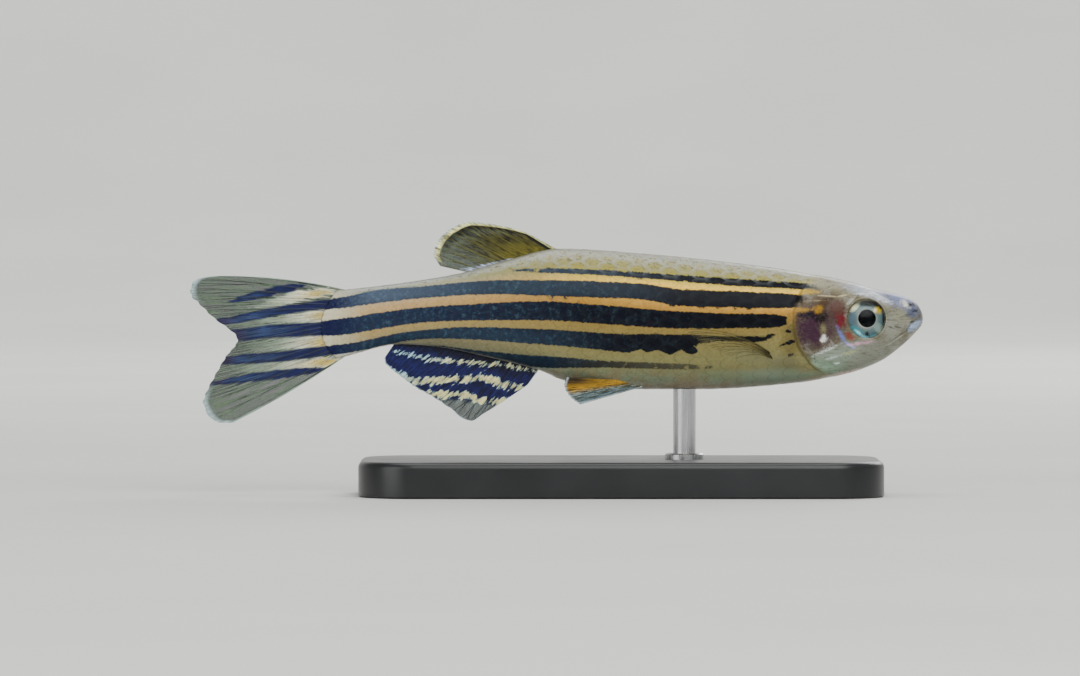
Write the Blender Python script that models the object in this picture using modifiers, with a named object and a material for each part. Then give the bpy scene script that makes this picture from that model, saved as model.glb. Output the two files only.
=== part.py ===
"""Zebra danio, a small striped aquarium fish, as a still life-size model on a display stand.

The head points along +X, the right flank faces -Y and the back faces +Z. The floor is at z = 0.
Every named size is in millimetres, and MM turns it to metres where a mesh is made.
A place on the fish is given by d, the distance behind the snout, y, the distance to the left of
the body's middle plane, and h, the height over the body's level axis.
"""

import math

import bmesh
import bpy
import numpy as np
from mathutils import Matrix, Vector

MM = 0.001

# Driving sizes
TOTAL_LENGTH = 45.0
AXIS_HEIGHT = 10.7
GAP = 0.3

# Outline of the body: distance behind the snout with height over the axis or half width
BACK = (
    (0.0, 0.12), (0.06, 0.43), (0.5, 1.14), (1.4, 1.53), (3.2, 1.97), (4.5, 2.36), (7.5, 2.94),
    (10.6, 3.40), (16.7, 4.04), (22.2, 4.38), (25.9, 3.55), (28.3, 2.88), (32.0, 2.26), (35.4, 1.87),
)
BELLY = (
    (0.0, 0.02), (0.06, -0.24), (0.5, -0.80), (1.4, -1.65), (2.6, -2.51), (4.5, -3.24), (7.5, -3.83),
    (13.6, -4.25), (17.3, -4.25), (21.9, -3.73), (23.4, -3.12), (25.9, -2.45), (30.2, -1.60),
    (32.0, -1.50), (35.4, -2.26),
)
HALF_WIDTH = (
    (0.0, 0.20), (0.06, 0.46), (0.5, 0.98), (1.4, 1.45), (2.6, 1.83), (3.6, 2.05), (5.5, 2.25),
    (7.5, 2.38), (11.0, 2.55), (15.0, 2.60), (19.0, 2.50), (22.0, 2.25), (25.9, 1.75), (29.0, 1.30),
    (32.0, 0.98), (35.4, 0.52),
)
# Height of the widest line, and the section's fullness: 2 is an ellipse, more is squarer
WAIST = ((0.0, 0.08), (1.4, 0.12), (3.6, 0.05), (7.5, -0.20), (15.0, -0.20), (24.0, 0.30), (35.4, -0.20))
FULLNESS = ((0.0, 2.2), (2.0, 2.5), (4.5, 2.5), (9.0, 2.25), (20.0, 2.15), (35.4, 2.0))
BODY_END = 35.1

# Slow sideways sweep of the tail
SWAY = 1.1
SWAY_START = 23.0

# Rear edge of the gill cover, an ellipse in side view, where the head meets the torso
GILL_CENTRE = (4.77, -0.06)
GILL_BACK = 3.20
GILL_UP = 3.30
GILL_DOWN = 3.42
GILL_PLATE_RAISE = 0.20
GILL_PLATE_FRONT = (0.46, 0.70)
GILL_PLATE_FADE = 1.0
NAPE_LOW = 1.5
NAPE_HIGH = 2.1

# Slanting joint of torso and tail, from behind the dorsal fin to before the anal fin
TAIL_SEAM_TOP = (28.3, 3.2)
TAIL_SEAM_BOTTOM = (22.9, -3.6)
PAST_BODY = 8.0

# How finely each body node is lofted: stations along it and points round it
HEAD_STATIONS = 31
HEAD_SIDES = 40
TORSO_START = 4.4
TORSO_STATION_STEP = 0.82
TORSO_STATIONS = 32
TORSO_SIDES = 38
TAIL_START = 20.5
TAIL_STATIONS = 19
TAIL_SIDES = 34
TRIM_STATIONS = 44
TRIM_SIDES = 44

# Eye
EYE_CENTRE = (3.55, 0.12)
EYE_RADIUS = 1.22
EYE_FRONT = 0.40
EYE_BACK = 0.90
PUPIL_RADIUS = 0.57
PUPIL_RAISE = 0.09
EYE_INSET = 0.12
EYE_RIM_RAISE = 0.06
EYE_YAW = math.radians(9.0)
EYE_PITCH = math.radians(7.0)
EYE_RINGS = (0.0, 0.30, 0.46, 0.54, PUPIL_RADIUS, 0.80, 1.02, 1.16)
EYE_STEPS = 24
SOCKET_STEPS = 30

# Mouth, nostrils and feelers
MOUTH_LINE = ((-0.30, 0.20), (0.10, 0.10), (0.65, -0.14), (1.05, -0.62))
MOUTH_OPENING = 0.13
MOUTH_STEPS = 6
LIP_REACH = (1.02, 0.84, 0.66, 0.48, 0.32, 0.19, 0.10, 0.05)
LIP_FRONT = 0.02
LIP_OFFSET = 0.15
LIP_RADIUS = 0.17
LIP_TAPER = 0.45
LIP_SINK = 0.08
LIP_BACK = 0.15
NOSTRILS = ((0.86, 0.86, 0.12), (1.26, 1.00, 0.17))
NOSTRIL_DEPTH = 0.22
FEELER_ROOT_RADIUS = 0.22
FEELER_TIP_RADIUS = 0.05
FEELER_STEPS = 7
LONG_FEELER = ((0.95, -0.62), (1.45, -0.98), (2.1, -1.42), (3.0, -1.78))
LONG_FEELER_OFF = ((0.95, -0.30), (1.35, 0.10), (2.1, 0.24), (3.0, 0.30))
SHORT_FEELER = ((0.48, 0.36), (0.85, 0.44), (1.25, 0.38), (1.70, 0.22))
SHORT_FEELER_OFF = ((0.48, -0.34), (0.85, 0.08), (1.25, 0.20), (1.70, 0.26))

# Fins: half thickness of the membrane from root to tip, and how far a ray stands out of it
WEB_THICK = ((0.0, 0.29), (0.5, 0.26), (0.8, 0.24), (1.0, 0.09))
RAY_RAISE = ((0.0, 0.14), (0.7, 0.11), (1.0, 0.05))
RAY_RAISE_OF_PITCH = 0.45
RAY_SHARE = 0.27
EDGE_SHARE = 0.25
EDGE_THICK_SHARE = 0.6
WEB_SHORT = 0.97

# Single fins: where the root runs along the body, and where each ray ends, by its share of the way back
DORSAL_ROOT = (22.15, 27.7)
DORSAL_REACH = (
    (0.0, 24.2), (0.12, 25.3), (0.25, 26.6), (0.4, 27.85), (0.55, 28.95), (0.7, 29.7),
    (0.85, 29.96), (1.0, 29.56),
)
DORSAL_HEIGHT = (
    (0.0, 5.32), (0.12, 5.66), (0.25, 5.90), (0.4, 6.02), (0.55, 5.57), (0.7, 4.83),
    (0.85, 4.04), (1.0, 3.30),
)
DORSAL_RAYS = 10
DORSAL_RIPPLE = 0.22
ANAL_ROOT = (23.45, 32.3)
ANAL_REACH = (
    (0.0, 24.2), (0.10, 25.9), (0.2, 27.8), (0.36, 28.8), (0.52, 29.8), (0.68, 30.9),
    (0.84, 32.0), (1.0, 32.8),
)
ANAL_HEIGHT = (
    (0.0, -3.98), (0.10, -5.02), (0.2, -6.2), (0.36, -5.51), (0.52, -4.83), (0.68, -4.22),
    (0.84, -3.60), (1.0, -2.57),
)
ANAL_RAYS = 14
ANAL_RIPPLE = -0.20
CAUDAL_REACH = (
    (0.0, 44.5), (0.05, 45.0), (0.15, 44.3), (0.3, 43.1), (0.46, 41.98), (0.62, 42.8),
    (0.78, 43.8), (0.9, 44.1), (0.96, 43.5), (1.0, 42.2),
)
CAUDAL_HEIGHT = (
    (0.0, 2.52), (0.05, 1.95), (0.15, 0.98), (0.3, -0.12), (0.46, -1.22), (0.62, -2.51),
    (0.78, -4.22), (0.9, -5.45), (0.96, -6.3), (1.0, -6.32),
)
CAUDAL_RAYS = 19
CAUDAL_RIPPLE = 0.30
CAUDAL_BOW_TOP = 0.26
CAUDAL_BOW_LOW = -0.10

# Paired fins: root from its first ray to its last, and where each ray ends, spread away from the middle
PECTORAL_ROOT = ((9.20, -1.72), (8.92, -2.58))
PECTORAL_REACH = ((0.0, 14.75), (0.3, 14.1), (0.55, 13.2), (0.8, 12.3), (1.0, 11.5))
PECTORAL_HEIGHT = ((0.0, -0.46), (0.3, -1.0), (0.55, -1.53), (0.8, -1.96), (1.0, -2.33))
PECTORAL_SPREAD = ((0.0, 4.7), (0.5, 4.4), (1.0, 3.6))
PECTORAL_RAYS = 8
PECTORAL_BOW = 0.34
PELVIC_ROOT = ((17.1, -4.05), (18.5, -3.65))
PELVIC_REACH = ((0.0, 21.0), (0.35, 21.6), (0.7, 21.95), (1.0, 21.8))
PELVIC_HEIGHT = ((0.0, -5.12), (0.35, -4.65), (0.7, -4.0), (1.0, -3.45))
PELVIC_SPREAD = ((0.0, 2.0), (0.5, 2.25), (1.0, 2.30))
PELVIC_RAYS = 7
FIN_SINK = 0.6

# Stand
BASE_CENTRE_X = 4.0
BASE_LENGTH = 32.0
BASE_DEPTH = 13.0
BASE_HEIGHT = 2.2
BASE_CORNER = 3.5
BASE_EDGE = 0.4
ROD_BEHIND_SNOUT = 14.6
ROD_RADIUS = 0.7
ROD_SINK = 1.1

# Finishes: colour, roughness and metallic share
HEAD_FINISH = ((0.50, 0.47, 0.42), 0.35, 0.0)
TORSO_FINISH = ((0.42, 0.36, 0.22), 0.35, 0.0)
TAIL_FINISH = ((0.36, 0.34, 0.28), 0.35, 0.0)
EYE_FINISH = ((0.32, 0.38, 0.38), 0.25, 0.3)
DORSAL_FINISH = ((0.20, 0.20, 0.12), 0.35, 0.0)
ANAL_FINISH = ((0.10, 0.11, 0.22), 0.35, 0.0)
CAUDAL_FINISH = ((0.16, 0.20, 0.26), 0.35, 0.0)
PECTORAL_FINISH = ((0.35, 0.36, 0.30), 0.35, 0.0)
PELVIC_FINISH = ((0.40, 0.34, 0.16), 0.35, 0.0)
BASE_FINISH = ((0.03, 0.03, 0.035), 0.3, 0.0)
ROD_FINISH = ((0.62, 0.62, 0.64), 0.25, 1.0)
SHARP_EDGE = math.radians(35)


def smooth_value(points, x):
    """Value at x of a smooth curve through (x, value) points, flat where they turn, with no overshoot."""
    xs = [point[0] for point in points]
    ys = [point[1] for point in points]
    x = min(max(x, xs[0]), xs[-1])
    slopes = [(ys[i + 1] - ys[i]) / (xs[i + 1] - xs[i]) for i in range(len(xs) - 1)]
    turns = [slopes[0]]
    for before, after in zip(slopes, slopes[1:]):
        turns.append(0.0 if before * after <= 0 else 2 * before * after / (before + after))
    turns.append(slopes[-1])
    i = max(k for k in range(len(xs) - 1) if xs[k] <= x)
    span = xs[i + 1] - xs[i]
    t = (x - xs[i]) / span
    start = ys[i] * (1 + 2 * t) * (1 - t) ** 2 + turns[i] * span * t * (1 - t) ** 2
    end = ys[i + 1] * t * t * (3 - 2 * t) + turns[i + 1] * span * t * t * (t - 1)
    return start + end


def between(low, high, share):
    return low + (high - low) * share


def soft_step(low, high, x):
    """0 below low, 1 above high, and a smooth rise between."""
    t = min(max((x - low) / (high - low), 0.0), 1.0)
    return t * t * (3 - 2 * t)


def sway(d):
    """Sideways shift of the body's middle plane."""
    reach = max(0.0, (d - SWAY_START) / (TOTAL_LENGTH - SWAY_START))
    return SWAY * reach * reach


def place(d, y, h):
    """The point in space, in metres, of a place on the fish."""
    return Vector((TOTAL_LENGTH / 2 - d, y + sway(d), AXIS_HEIGHT + h)) * MM


def flank(d, angle, grow=0.0):
    """(y, h) of the body's section at d, at an angle from the back round by the left side to the belly."""
    waist = smooth_value(WAIST, d)
    power = 2 / smooth_value(FULLNESS, d)
    width = smooth_value(HALF_WIDTH, d) + grow
    up = smooth_value(BACK, d) - waist + grow
    down = waist - smooth_value(BELLY, d) + grow
    side = math.sin(angle)
    rise = math.cos(angle)
    y = width * math.copysign(abs(side) ** power, side)
    h = waist + (up if rise > 0 else down) * math.copysign(abs(rise) ** power, rise)
    return y, h


def flank_width(d, h):
    """Half width of the body at d and height h."""
    waist = smooth_value(WAIST, d)
    full = smooth_value(FULLNESS, d)
    reach = smooth_value(BACK, d) - waist if h > waist else waist - smooth_value(BELLY, d)
    share = min(abs(h - waist) / reach, 0.999)
    return smooth_value(HALF_WIDTH, d) * (1 - share**full) ** (1 / full)


def gill_ring(d, h):
    """1 on the rear edge of the gill cover, less inside it, and 0 in front of its centre."""
    back = max(d - GILL_CENTRE[0], 0.0) / GILL_BACK
    side = h - GILL_CENTRE[1]
    return math.hypot(back, side / (GILL_UP if side > 0 else GILL_DOWN)) if d > GILL_CENTRE[0] else 0.0


def head_relief(d, h):
    """Outward swelling of the gill cover plate and of the rim round the eye."""
    ring = gill_ring(d, h)
    below_nape = 1 - soft_step(NAPE_LOW, NAPE_HIGH, h)
    behind = soft_step(GILL_CENTRE[0], GILL_CENTRE[0] + GILL_PLATE_FADE, d)
    plate = GILL_PLATE_RAISE * soft_step(*GILL_PLATE_FRONT, ring) * below_nape * behind
    from_eye = math.hypot(d - EYE_CENTRE[0], h - EYE_CENTRE[1]) / (EYE_RADIUS + GAP)
    rim = EYE_RIM_RAISE * math.exp(-(((from_eye - 1.0) / 0.25) ** 2))
    return plate * (1 - 0.35 * soft_step(0.85, 1.0, ring)) + rim


def mesh_object(name, points, faces):
    """A new object from points in metres and faces, turned so that every face looks outwards."""
    mesh = bpy.data.meshes.new(name)
    mesh.from_pydata([tuple(point) for point in points], [], faces)
    work = bmesh.new()
    work.from_mesh(mesh)
    bmesh.ops.recalc_face_normals(work, faces=work.faces)
    if work.calc_volume(signed=True) < 0:
        bmesh.ops.reverse_faces(work, faces=work.faces)
    work.to_mesh(mesh)
    work.free()
    obj = bpy.data.objects.new(name, mesh)
    bpy.context.scene.collection.objects.link(obj)
    return obj


def body_loft(name, stations, sides, grow=0.0, relief=None):
    """A closed loft of body sections at the stations, with a flat end at each side."""
    points = []
    for d in stations:
        for k in range(sides):
            angle = 2 * math.pi * (k + 0.5) / sides
            y, h = flank(d, angle, grow)
            swell = relief(d, h) * abs(math.sin(angle)) if relief else 0.0
            points.append(place(d, y + math.copysign(swell, y), h))
    count = len(stations)
    faces = []
    for i in range(count - 1):
        for k in range(sides):
            after = (k + 1) % sides
            faces.append((i * sides + k, i * sides + after, (i + 1) * sides + after, (i + 1) * sides + k))
    for i, ring in ((0, 0), (count - 1, (count - 1) * sides)):
        d = stations[i]
        middle = (smooth_value(BACK, d) + smooth_value(BELLY, d)) / 2
        points.append(place(d, 0.0, middle))
        faces += [(ring + k, ring + (k + 1) % sides, len(points) - 1) for k in range(sides)]
    return mesh_object(name, points, faces)


def side_prism(name, outline, half_depth=12.0):
    """A closed prism across the fish from an outline of (d, h) points."""
    points = [
        Vector((TOTAL_LENGTH / 2 - d, y, AXIS_HEIGHT + h)) * MM
        for y in (-half_depth, half_depth)
        for d, h in outline
    ]
    count = len(outline)
    faces = [tuple(range(count)), tuple(range(count, 2 * count))]
    faces += [(k, (k + 1) % count, count + (k + 1) % count, count + k) for k in range(count)]
    return mesh_object(name, points, faces)


def take_evaluated(obj):
    """Turns an object's modifiers into its own mesh."""
    bpy.context.view_layer.update()
    graph = bpy.context.evaluated_depsgraph_get()
    mesh = bpy.data.meshes.new_from_object(obj.evaluated_get(graph))
    obj.modifiers.clear()
    obj.data = mesh


def combine(obj, tools, operation):
    """Joins, cuts or trims an object by closed tool objects, and removes the tools."""
    group = bpy.data.collections.new(obj.name + "_tools")
    bpy.context.scene.collection.children.link(group)
    for tool in tools:
        group.objects.link(tool)
    boolean = obj.modifiers.new(operation.lower(), "BOOLEAN")
    boolean.operation = operation
    boolean.solver = "EXACT"
    boolean.operand_type = "COLLECTION"
    boolean.collection = group
    take_evaluated(obj)
    for tool in tools:
        bpy.data.objects.remove(tool)
    bpy.data.collections.remove(group)


def keep_largest(obj):
    """Leaves only the largest closed surface of an object, as triangles."""
    work = bmesh.new()
    work.from_mesh(obj.data)
    bmesh.ops.remove_doubles(work, verts=work.verts, dist=0.002 * MM)
    bmesh.ops.triangulate(work, faces=work.faces)
    left = set(work.faces)
    shells = []
    while left:
        shell = set()
        edge = [left.pop()]
        while edge:
            face = edge.pop()
            shell.add(face)
            for side in face.edges:
                for other in side.link_faces:
                    if other in left:
                        left.remove(other)
                        edge.append(other)
        shells.append(shell)
    sizes = [abs(sum(f.calc_center_median().dot(f.normal) * f.calc_area() for f in s)) for s in shells]
    largest = shells[sizes.index(max(sizes))]
    bmesh.ops.delete(work, geom=[f for f in work.faces if f not in largest], context="FACES")
    work.to_mesh(obj.data)
    work.free()


def finish(obj, origin, look):
    """Moves the object's origin to a point of the part, and gives it its own material."""
    colour, roughness, metallic = look
    shift = obj.matrix_world.copy()
    shift.translation = shift.translation - origin
    obj.data.transform(shift)
    obj.matrix_world = Matrix.Translation(origin)
    material = bpy.data.materials.new(obj.name)
    material.use_nodes = True
    shader = material.node_tree.nodes["Principled BSDF"]
    shader.inputs["Base Color"].default_value = (*colour, 1.0)
    shader.inputs["Roughness"].default_value = roughness
    shader.inputs["Metallic"].default_value = metallic
    obj.data.materials.clear()
    obj.data.materials.append(material)
    obj.data.shade_smooth()
    obj.data.set_sharp_from_angle(angle=SHARP_EDGE)
    for collection in list(obj.users_collection):
        collection.objects.unlink(obj)
    bpy.data.collections["zebra_danio"].objects.link(obj)
    obj.parent = bpy.data.objects["zebra_danio_root"]
    return obj


def tube(name, points, radii, sides_each_quarter=2):
    """A closed round tube through points in metres, with a radius in millimetres at each."""
    data = bpy.data.curves.new(name, "CURVE")
    data.dimensions = "3D"
    data.bevel_depth = MM
    data.bevel_resolution = sides_each_quarter
    data.use_fill_caps = True
    spline = data.splines.new("POLY")
    spline.points.add(len(points) - 1)
    for spot, point, radius in zip(spline.points, points, radii):
        spot.co = (*point, 1.0)
        spot.radius = radius
    curve = bpy.data.objects.new(name + "_curve", data)
    bpy.context.scene.collection.objects.link(curve)
    bpy.context.view_layer.update()
    graph = bpy.context.evaluated_depsgraph_get()
    mesh = bpy.data.meshes.new_from_object(curve.evaluated_get(graph))
    bpy.data.objects.remove(curve)
    work = bmesh.new()
    work.from_mesh(mesh)
    bmesh.ops.remove_doubles(work, verts=work.verts, dist=0.001 * MM)
    bmesh.ops.recalc_face_normals(work, faces=work.faces)
    work.to_mesh(mesh)
    work.free()
    obj = bpy.data.objects.new(name, mesh)
    bpy.context.scene.collection.objects.link(obj)
    return obj


def gill_edge(grow, steps=22):
    """Points of the gill cover's rear edge, from over the nape to under the throat."""
    points = []
    for k in range(steps + 1):
        angle = math.pi / 2 - math.pi * k / steps
        rise = (GILL_UP if angle > 0 else GILL_DOWN) + grow
        back = (GILL_BACK + grow) * math.cos(angle)
        points.append((GILL_CENTRE[0] + back, GILL_CENTRE[1] + rise * math.sin(angle)))
    return points


def mouth_height(d):
    """Height of the mouth line at a distance behind the snout."""
    return smooth_value(MOUTH_LINE, d)


def lip(name, side):
    """A lip from one corner of the mouth round the snout to the other: side is 1 above and -1 below."""
    points = []
    radii = []
    for sign, spots in ((-1, LIP_REACH), (0, (LIP_FRONT,)), (1, tuple(reversed(LIP_REACH)))):
        for d in spots:
            share = d / LIP_REACH[0]
            h = mouth_height(d) + side * LIP_OFFSET
            y = sign * (flank_width(d, h) - LIP_SINK)
            points.append(place(d + between(LIP_BACK, 0.0, share), y, h))
            radii.append(LIP_RADIUS * (1 - LIP_TAPER * share))
    return tube(name, points, radii)


def feeler(name, route, stand_off, sign, share):
    """A tapering feeler along the cheek, its root sunk in the lip."""
    points = []
    radii = []
    for k in range(FEELER_STEPS + 1):
        along = k / FEELER_STEPS
        d = between(route[0][0], route[-1][0], along)
        h = smooth_value(route, d)
        points.append(place(d, sign * (flank_width(d, h) + smooth_value(stand_off, d)), h))
        radii.append(share * between(FEELER_ROOT_RADIUS, FEELER_TIP_RADIUS, along**0.8))
    return tube(name, points, radii, 1)


def mouth_cut():
    """The thin opening between the lips, wide at the snout and closing at the corners."""
    shares = [k / MOUTH_STEPS for k in range(MOUTH_STEPS + 1)]
    reach = [between(MOUTH_LINE[0][0], MOUTH_LINE[-1][0], share) for share in shares]
    half = [MOUTH_OPENING / 2 * (1 - 0.7 * share) for share in shares]
    upper = [(d, mouth_height(d) + t) for d, t in zip(reach, half)]
    lower = [(d, mouth_height(d) - t) for d, t in zip(reach, half)]
    return side_prism("mouth_cut", upper + list(reversed(lower)))


def nostril_cut(name, d, h, radius, sign):
    """A small pit into the snout, set across its surface."""
    outward = Vector((0.35, sign * 0.75, 0.55)).normalized()
    mouth = place(d, sign * flank_width(d, h), h)
    work = bmesh.new()
    depth = 2 * NOSTRIL_DEPTH * MM
    turn = outward.to_track_quat("Z", "Y").to_matrix().to_4x4()
    bmesh.ops.create_cone(
        work, cap_ends=True, segments=10, radius1=radius * MM * 0.7, radius2=radius * MM * 1.2,
        depth=depth, matrix=Matrix.Translation(mouth) @ turn,
    )
    mesh = bpy.data.meshes.new(name)
    work.to_mesh(mesh)
    work.free()
    obj = bpy.data.objects.new(name, mesh)
    bpy.context.scene.collection.objects.link(obj)
    return obj


def eye_place(sign):
    """Position and turn of an eye, whose own +Z looks out of the head."""
    d, h = EYE_CENTRE
    middle = place(d, sign * (flank_width(d, h) - EYE_INSET), h)
    outward = Vector(
        (math.sin(EYE_YAW), sign * math.cos(EYE_YAW) * math.cos(EYE_PITCH), math.sin(EYE_PITCH))
    ).normalized()
    return Matrix.Translation(middle) @ outward.to_track_quat("Z", "Y").to_matrix().to_4x4()


def turned(name, profile, steps, where):
    """A closed turned shape from a profile of (radius, height) points, from its top pole down."""
    mesh = bpy.data.meshes.new(name)
    points = [(radius * MM, 0.0, height * MM) for radius, height in profile]
    mesh.from_pydata(points, [(k, k + 1) for k in range(len(points) - 1)], [])
    obj = bpy.data.objects.new(name, mesh)
    bpy.context.scene.collection.objects.link(obj)
    screw = obj.modifiers.new("turn", "SCREW")
    screw.axis = "Z"
    screw.steps = steps
    screw.render_steps = steps
    screw.use_merge_vertices = True
    screw.merge_threshold = 1e-7
    take_evaluated(obj)
    work = bmesh.new()
    work.from_mesh(obj.data)
    bmesh.ops.remove_doubles(work, verts=work.verts, dist=1e-7)
    bmesh.ops.recalc_face_normals(work, faces=work.faces)
    work.to_mesh(obj.data)
    work.free()
    obj.data.transform(where)
    return obj


def eye_front(radius):
    """Height of the eye's front over its widest ring, with the lens standing a little proud."""
    bowl = EYE_FRONT * math.sqrt(max(0.0, 1 - (radius / EYE_RADIUS) ** 2))
    lens = PUPIL_RAISE * math.sqrt(max(0.0, 1 - (radius / PUPIL_RADIUS) ** 2))
    return bowl + lens


def eye(name, sign):
    """One eyeball: a low dome with the pupil's lens on it, and a rounded back."""
    profile = [(radius, eye_front(radius)) for radius in EYE_RINGS]
    profile += eye_bowl(EYE_RADIUS, EYE_BACK, 4)
    obj = turned(name, profile, EYE_STEPS, eye_place(sign))
    return finish(obj, eye_place(sign).translation, EYE_FINISH)


def eye_bowl(radius, depth, steps):
    """Profile of a rounded back, from its rim to its pole."""
    angles = [math.pi / 2 * k / steps for k in range(steps)]
    return [(radius * math.cos(angle), -depth * math.sin(angle)) for angle in angles] + [(0.0, -depth)]


def socket_cut(name, sign):
    """The eye's hollow in the head, wider than the eye by the gap."""
    out = 3.0
    profile = [(0.0, out), (EYE_RADIUS + GAP, out)]
    profile += eye_bowl(EYE_RADIUS + GAP, EYE_BACK + GAP, 6)
    return turned(name, profile, SOCKET_STEPS, eye_place(sign))


def head():
    """Head with gill covers, mouth, lips, nostrils, feelers and eye sockets."""
    first = 0.012
    last = 8.4
    shares = [k / (HEAD_STATIONS - 1) for k in range(HEAD_STATIONS)]
    stations = [first + last * share**1.35 for share in shares]
    obj = body_loft("head", stations, HEAD_SIDES, relief=head_relief)
    ahead = -3.0
    behind = GILL_CENTRE[0]
    outline = gill_edge(0.0)
    outline += [(behind, -PAST_BODY), (ahead, -PAST_BODY), (ahead, PAST_BODY), (behind, PAST_BODY)]
    combine(obj, [side_prism("head_region", outline)], "INTERSECT")
    added = [lip("upper_lip", 1), lip("lower_lip", -1)]
    for sign, word in ((-1, "right"), (1, "left")):
        added.append(feeler("long_feeler_" + word, LONG_FEELER, LONG_FEELER_OFF, sign, 1.0))
        added.append(feeler("short_feeler_" + word, SHORT_FEELER, SHORT_FEELER_OFF, sign, 0.8))
    combine(obj, added, "UNION")
    cuts = [mouth_cut()]
    for sign, word in ((-1, "right"), (1, "left")):
        cuts.append(socket_cut("socket_" + word, sign))
        for k, (d, h, radius) in enumerate(NOSTRILS):
            cuts.append(nostril_cut(f"nostril_{word}_{k}", d, h, radius, sign))
    combine(obj, cuts, "DIFFERENCE")
    keep_largest(obj)
    return finish(obj, place(GILL_CENTRE[0], 0.0, 0.0), HEAD_FINISH)


def tail_seam(offset):
    """The two ends of the slanting joint, moved back by offset, drawn out past the body."""
    (d_top, h_top), (d_low, h_low) = TAIL_SEAM_TOP, TAIL_SEAM_BOTTOM
    reach = 1.0
    slope = (d_top - d_low) / (h_top - h_low)
    shift = offset * math.sqrt(1 + slope * slope)
    top = (d_top + reach * slope + shift, h_top + reach)
    low = (d_low - reach * slope + shift, h_low - reach)
    return top, low


def torso():
    """The trunk from behind the gill covers to the slanting joint at the vent."""
    stations = [TORSO_START + TORSO_STATION_STEP * k for k in range(TORSO_STATIONS)]
    obj = body_loft("torso", stations, TORSO_SIDES)
    top, low = tail_seam(-GAP / 2)
    outline = gill_edge(GAP)
    outline += [(GILL_CENTRE[0], -PAST_BODY), (low[0], -PAST_BODY), low]
    outline += [top, (top[0], PAST_BODY), (GILL_CENTRE[0], PAST_BODY)]
    combine(obj, [side_prism("torso_region", outline)], "INTERSECT")
    keep_largest(obj)
    return finish(obj, place(ROD_BEHIND_SNOUT, 0.0, 0.0), TORSO_FINISH)


def tail():
    """The tail from the vent to the root of the caudal fin."""
    stations = [between(TAIL_START, BODY_END, k / (TAIL_STATIONS - 1)) for k in range(TAIL_STATIONS)]
    obj = body_loft("tail", stations, TAIL_SIDES)
    top, low = tail_seam(GAP / 2)
    behind = TOTAL_LENGTH
    outline = [(top[0], PAST_BODY), top, low, (low[0], -PAST_BODY), (behind, -PAST_BODY), (behind, PAST_BODY)]
    combine(obj, [side_prism("tail_region", outline)], "INTERSECT")
    keep_largest(obj)
    return finish(obj, place(TAIL_SEAM_TOP[0], 0.0, 0.0), TAIL_FINISH)


def grown_body(name):
    """The whole body grown by the gap, which trims whatever meets it."""
    first = 0.2
    last = BODY_END + GAP
    stations = [between(first, last, k / (TRIM_STATIONS - 1)) for k in range(TRIM_STATIONS)]
    return body_loft(name, stations, TRIM_SIDES, grow=GAP)


def fin_columns(ray_count):
    """(share across, is it a ray) for each column of a fin's mesh: thin edges, rays and their feet."""
    pitch = 1.0 / (ray_count - 1 + 2 * EDGE_SHARE)
    columns = [(0.0, False)]
    for k in range(ray_count):
        middle = pitch * (k + EDGE_SHARE)
        if k > 0:
            columns.append((middle - RAY_SHARE * pitch, False))
        columns.append((middle, True))
        if k < ray_count - 1:
            columns.append((middle + RAY_SHARE * pitch, False))
    columns.append((1.0, False))
    return columns


def fin_sheet(columns, root_at, tip_at, rows, bow, sink):
    """Middle surface of a fin in millimetres, one line of points for each column, and the share along it."""
    along = [0.0] + [k / rows for k in range(rows + 1)]
    lines = []
    for share, is_ray in columns:
        root = Vector(root_at(share))
        tip = Vector(tip_at(share))
        if not is_ray and 0.0 < share < 1.0:
            tip = root + (tip - root) * WEB_SHORT
        lead = (tip - root).normalized()
        across = Vector((lead.z, 0.0, -lead.x))
        line = [root + (tip - root) * s + across * bow(share) * 4 * s * (1 - s) for s in along]
        line[0] = root - lead * sink
        lines.append([tuple(place(*spot) / MM) for spot in line])
    return np.array(lines), along


def ray_fin(name, root_at, tip_at, ray_count, rows, sink, bow=lambda share: 0.0):
    """A closed fin: a membrane with its rays raised as ridges on both faces.

    root_at and tip_at give the place (d, y, h) of a ray's root and tip at a share across the fin.
    Each ray starts inside the body by the sink, and the body's surface trims it afterwards.
    """
    columns = fin_columns(ray_count)
    grid, along = fin_sheet(columns, root_at, tip_at, rows, bow, sink)
    wide, long = grid.shape[:2]
    span = np.linalg.norm(grid[1:] - grid[:-1], axis=2).sum(axis=0)
    half = np.zeros((wide, long, 1))
    for k, s in enumerate(along):
        raised = min(smooth_value(RAY_RAISE, s), RAY_RAISE_OF_PITCH * span[k] / ray_count)
        for i, (share, is_ray) in enumerate(columns):
            edge = EDGE_THICK_SHARE if share in (0.0, 1.0) else 1.0
            half[i, k, 0] = smooth_value(WEB_THICK, s) * edge + (raised if is_ray else 0.0)
    # One direction for a whole row, so that crowded rays at the root don't run through each other
    normals = np.cross(np.gradient(grid, axis=0), np.gradient(grid, axis=1)).mean(axis=0, keepdims=True)
    normals /= np.linalg.norm(normals, axis=2, keepdims=True)
    points = np.concatenate([(grid + normals * half).reshape(-1, 3), (grid - normals * half).reshape(-1, 3)])
    under = wide * long
    faces = []
    for i in range(wide - 1):
        for k in range(long - 1):
            a = i * long + k
            b = a + long
            split = ((a, b, b + 1), (a, b + 1, a + 1)) if (i + k) % 2 else ((a, b, a + 1), (b, b + 1, a + 1))
            for face in split:
                faces.append(face)
                faces.append(tuple(under + v for v in reversed(face)))
    rim = [i * long for i in range(wide)]
    rim += [(wide - 1) * long + k for k in range(1, long)]
    rim += [i * long + long - 1 for i in range(wide - 2, -1, -1)]
    rim += list(range(long - 2, 0, -1))
    for a, b in zip(rim, rim[1:] + rim[:1]):
        faces.append((a, b, under + b))
        faces.append((a, under + b, under + a))
    return mesh_object(name, [Vector(point) * MM for point in points], faces)


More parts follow.
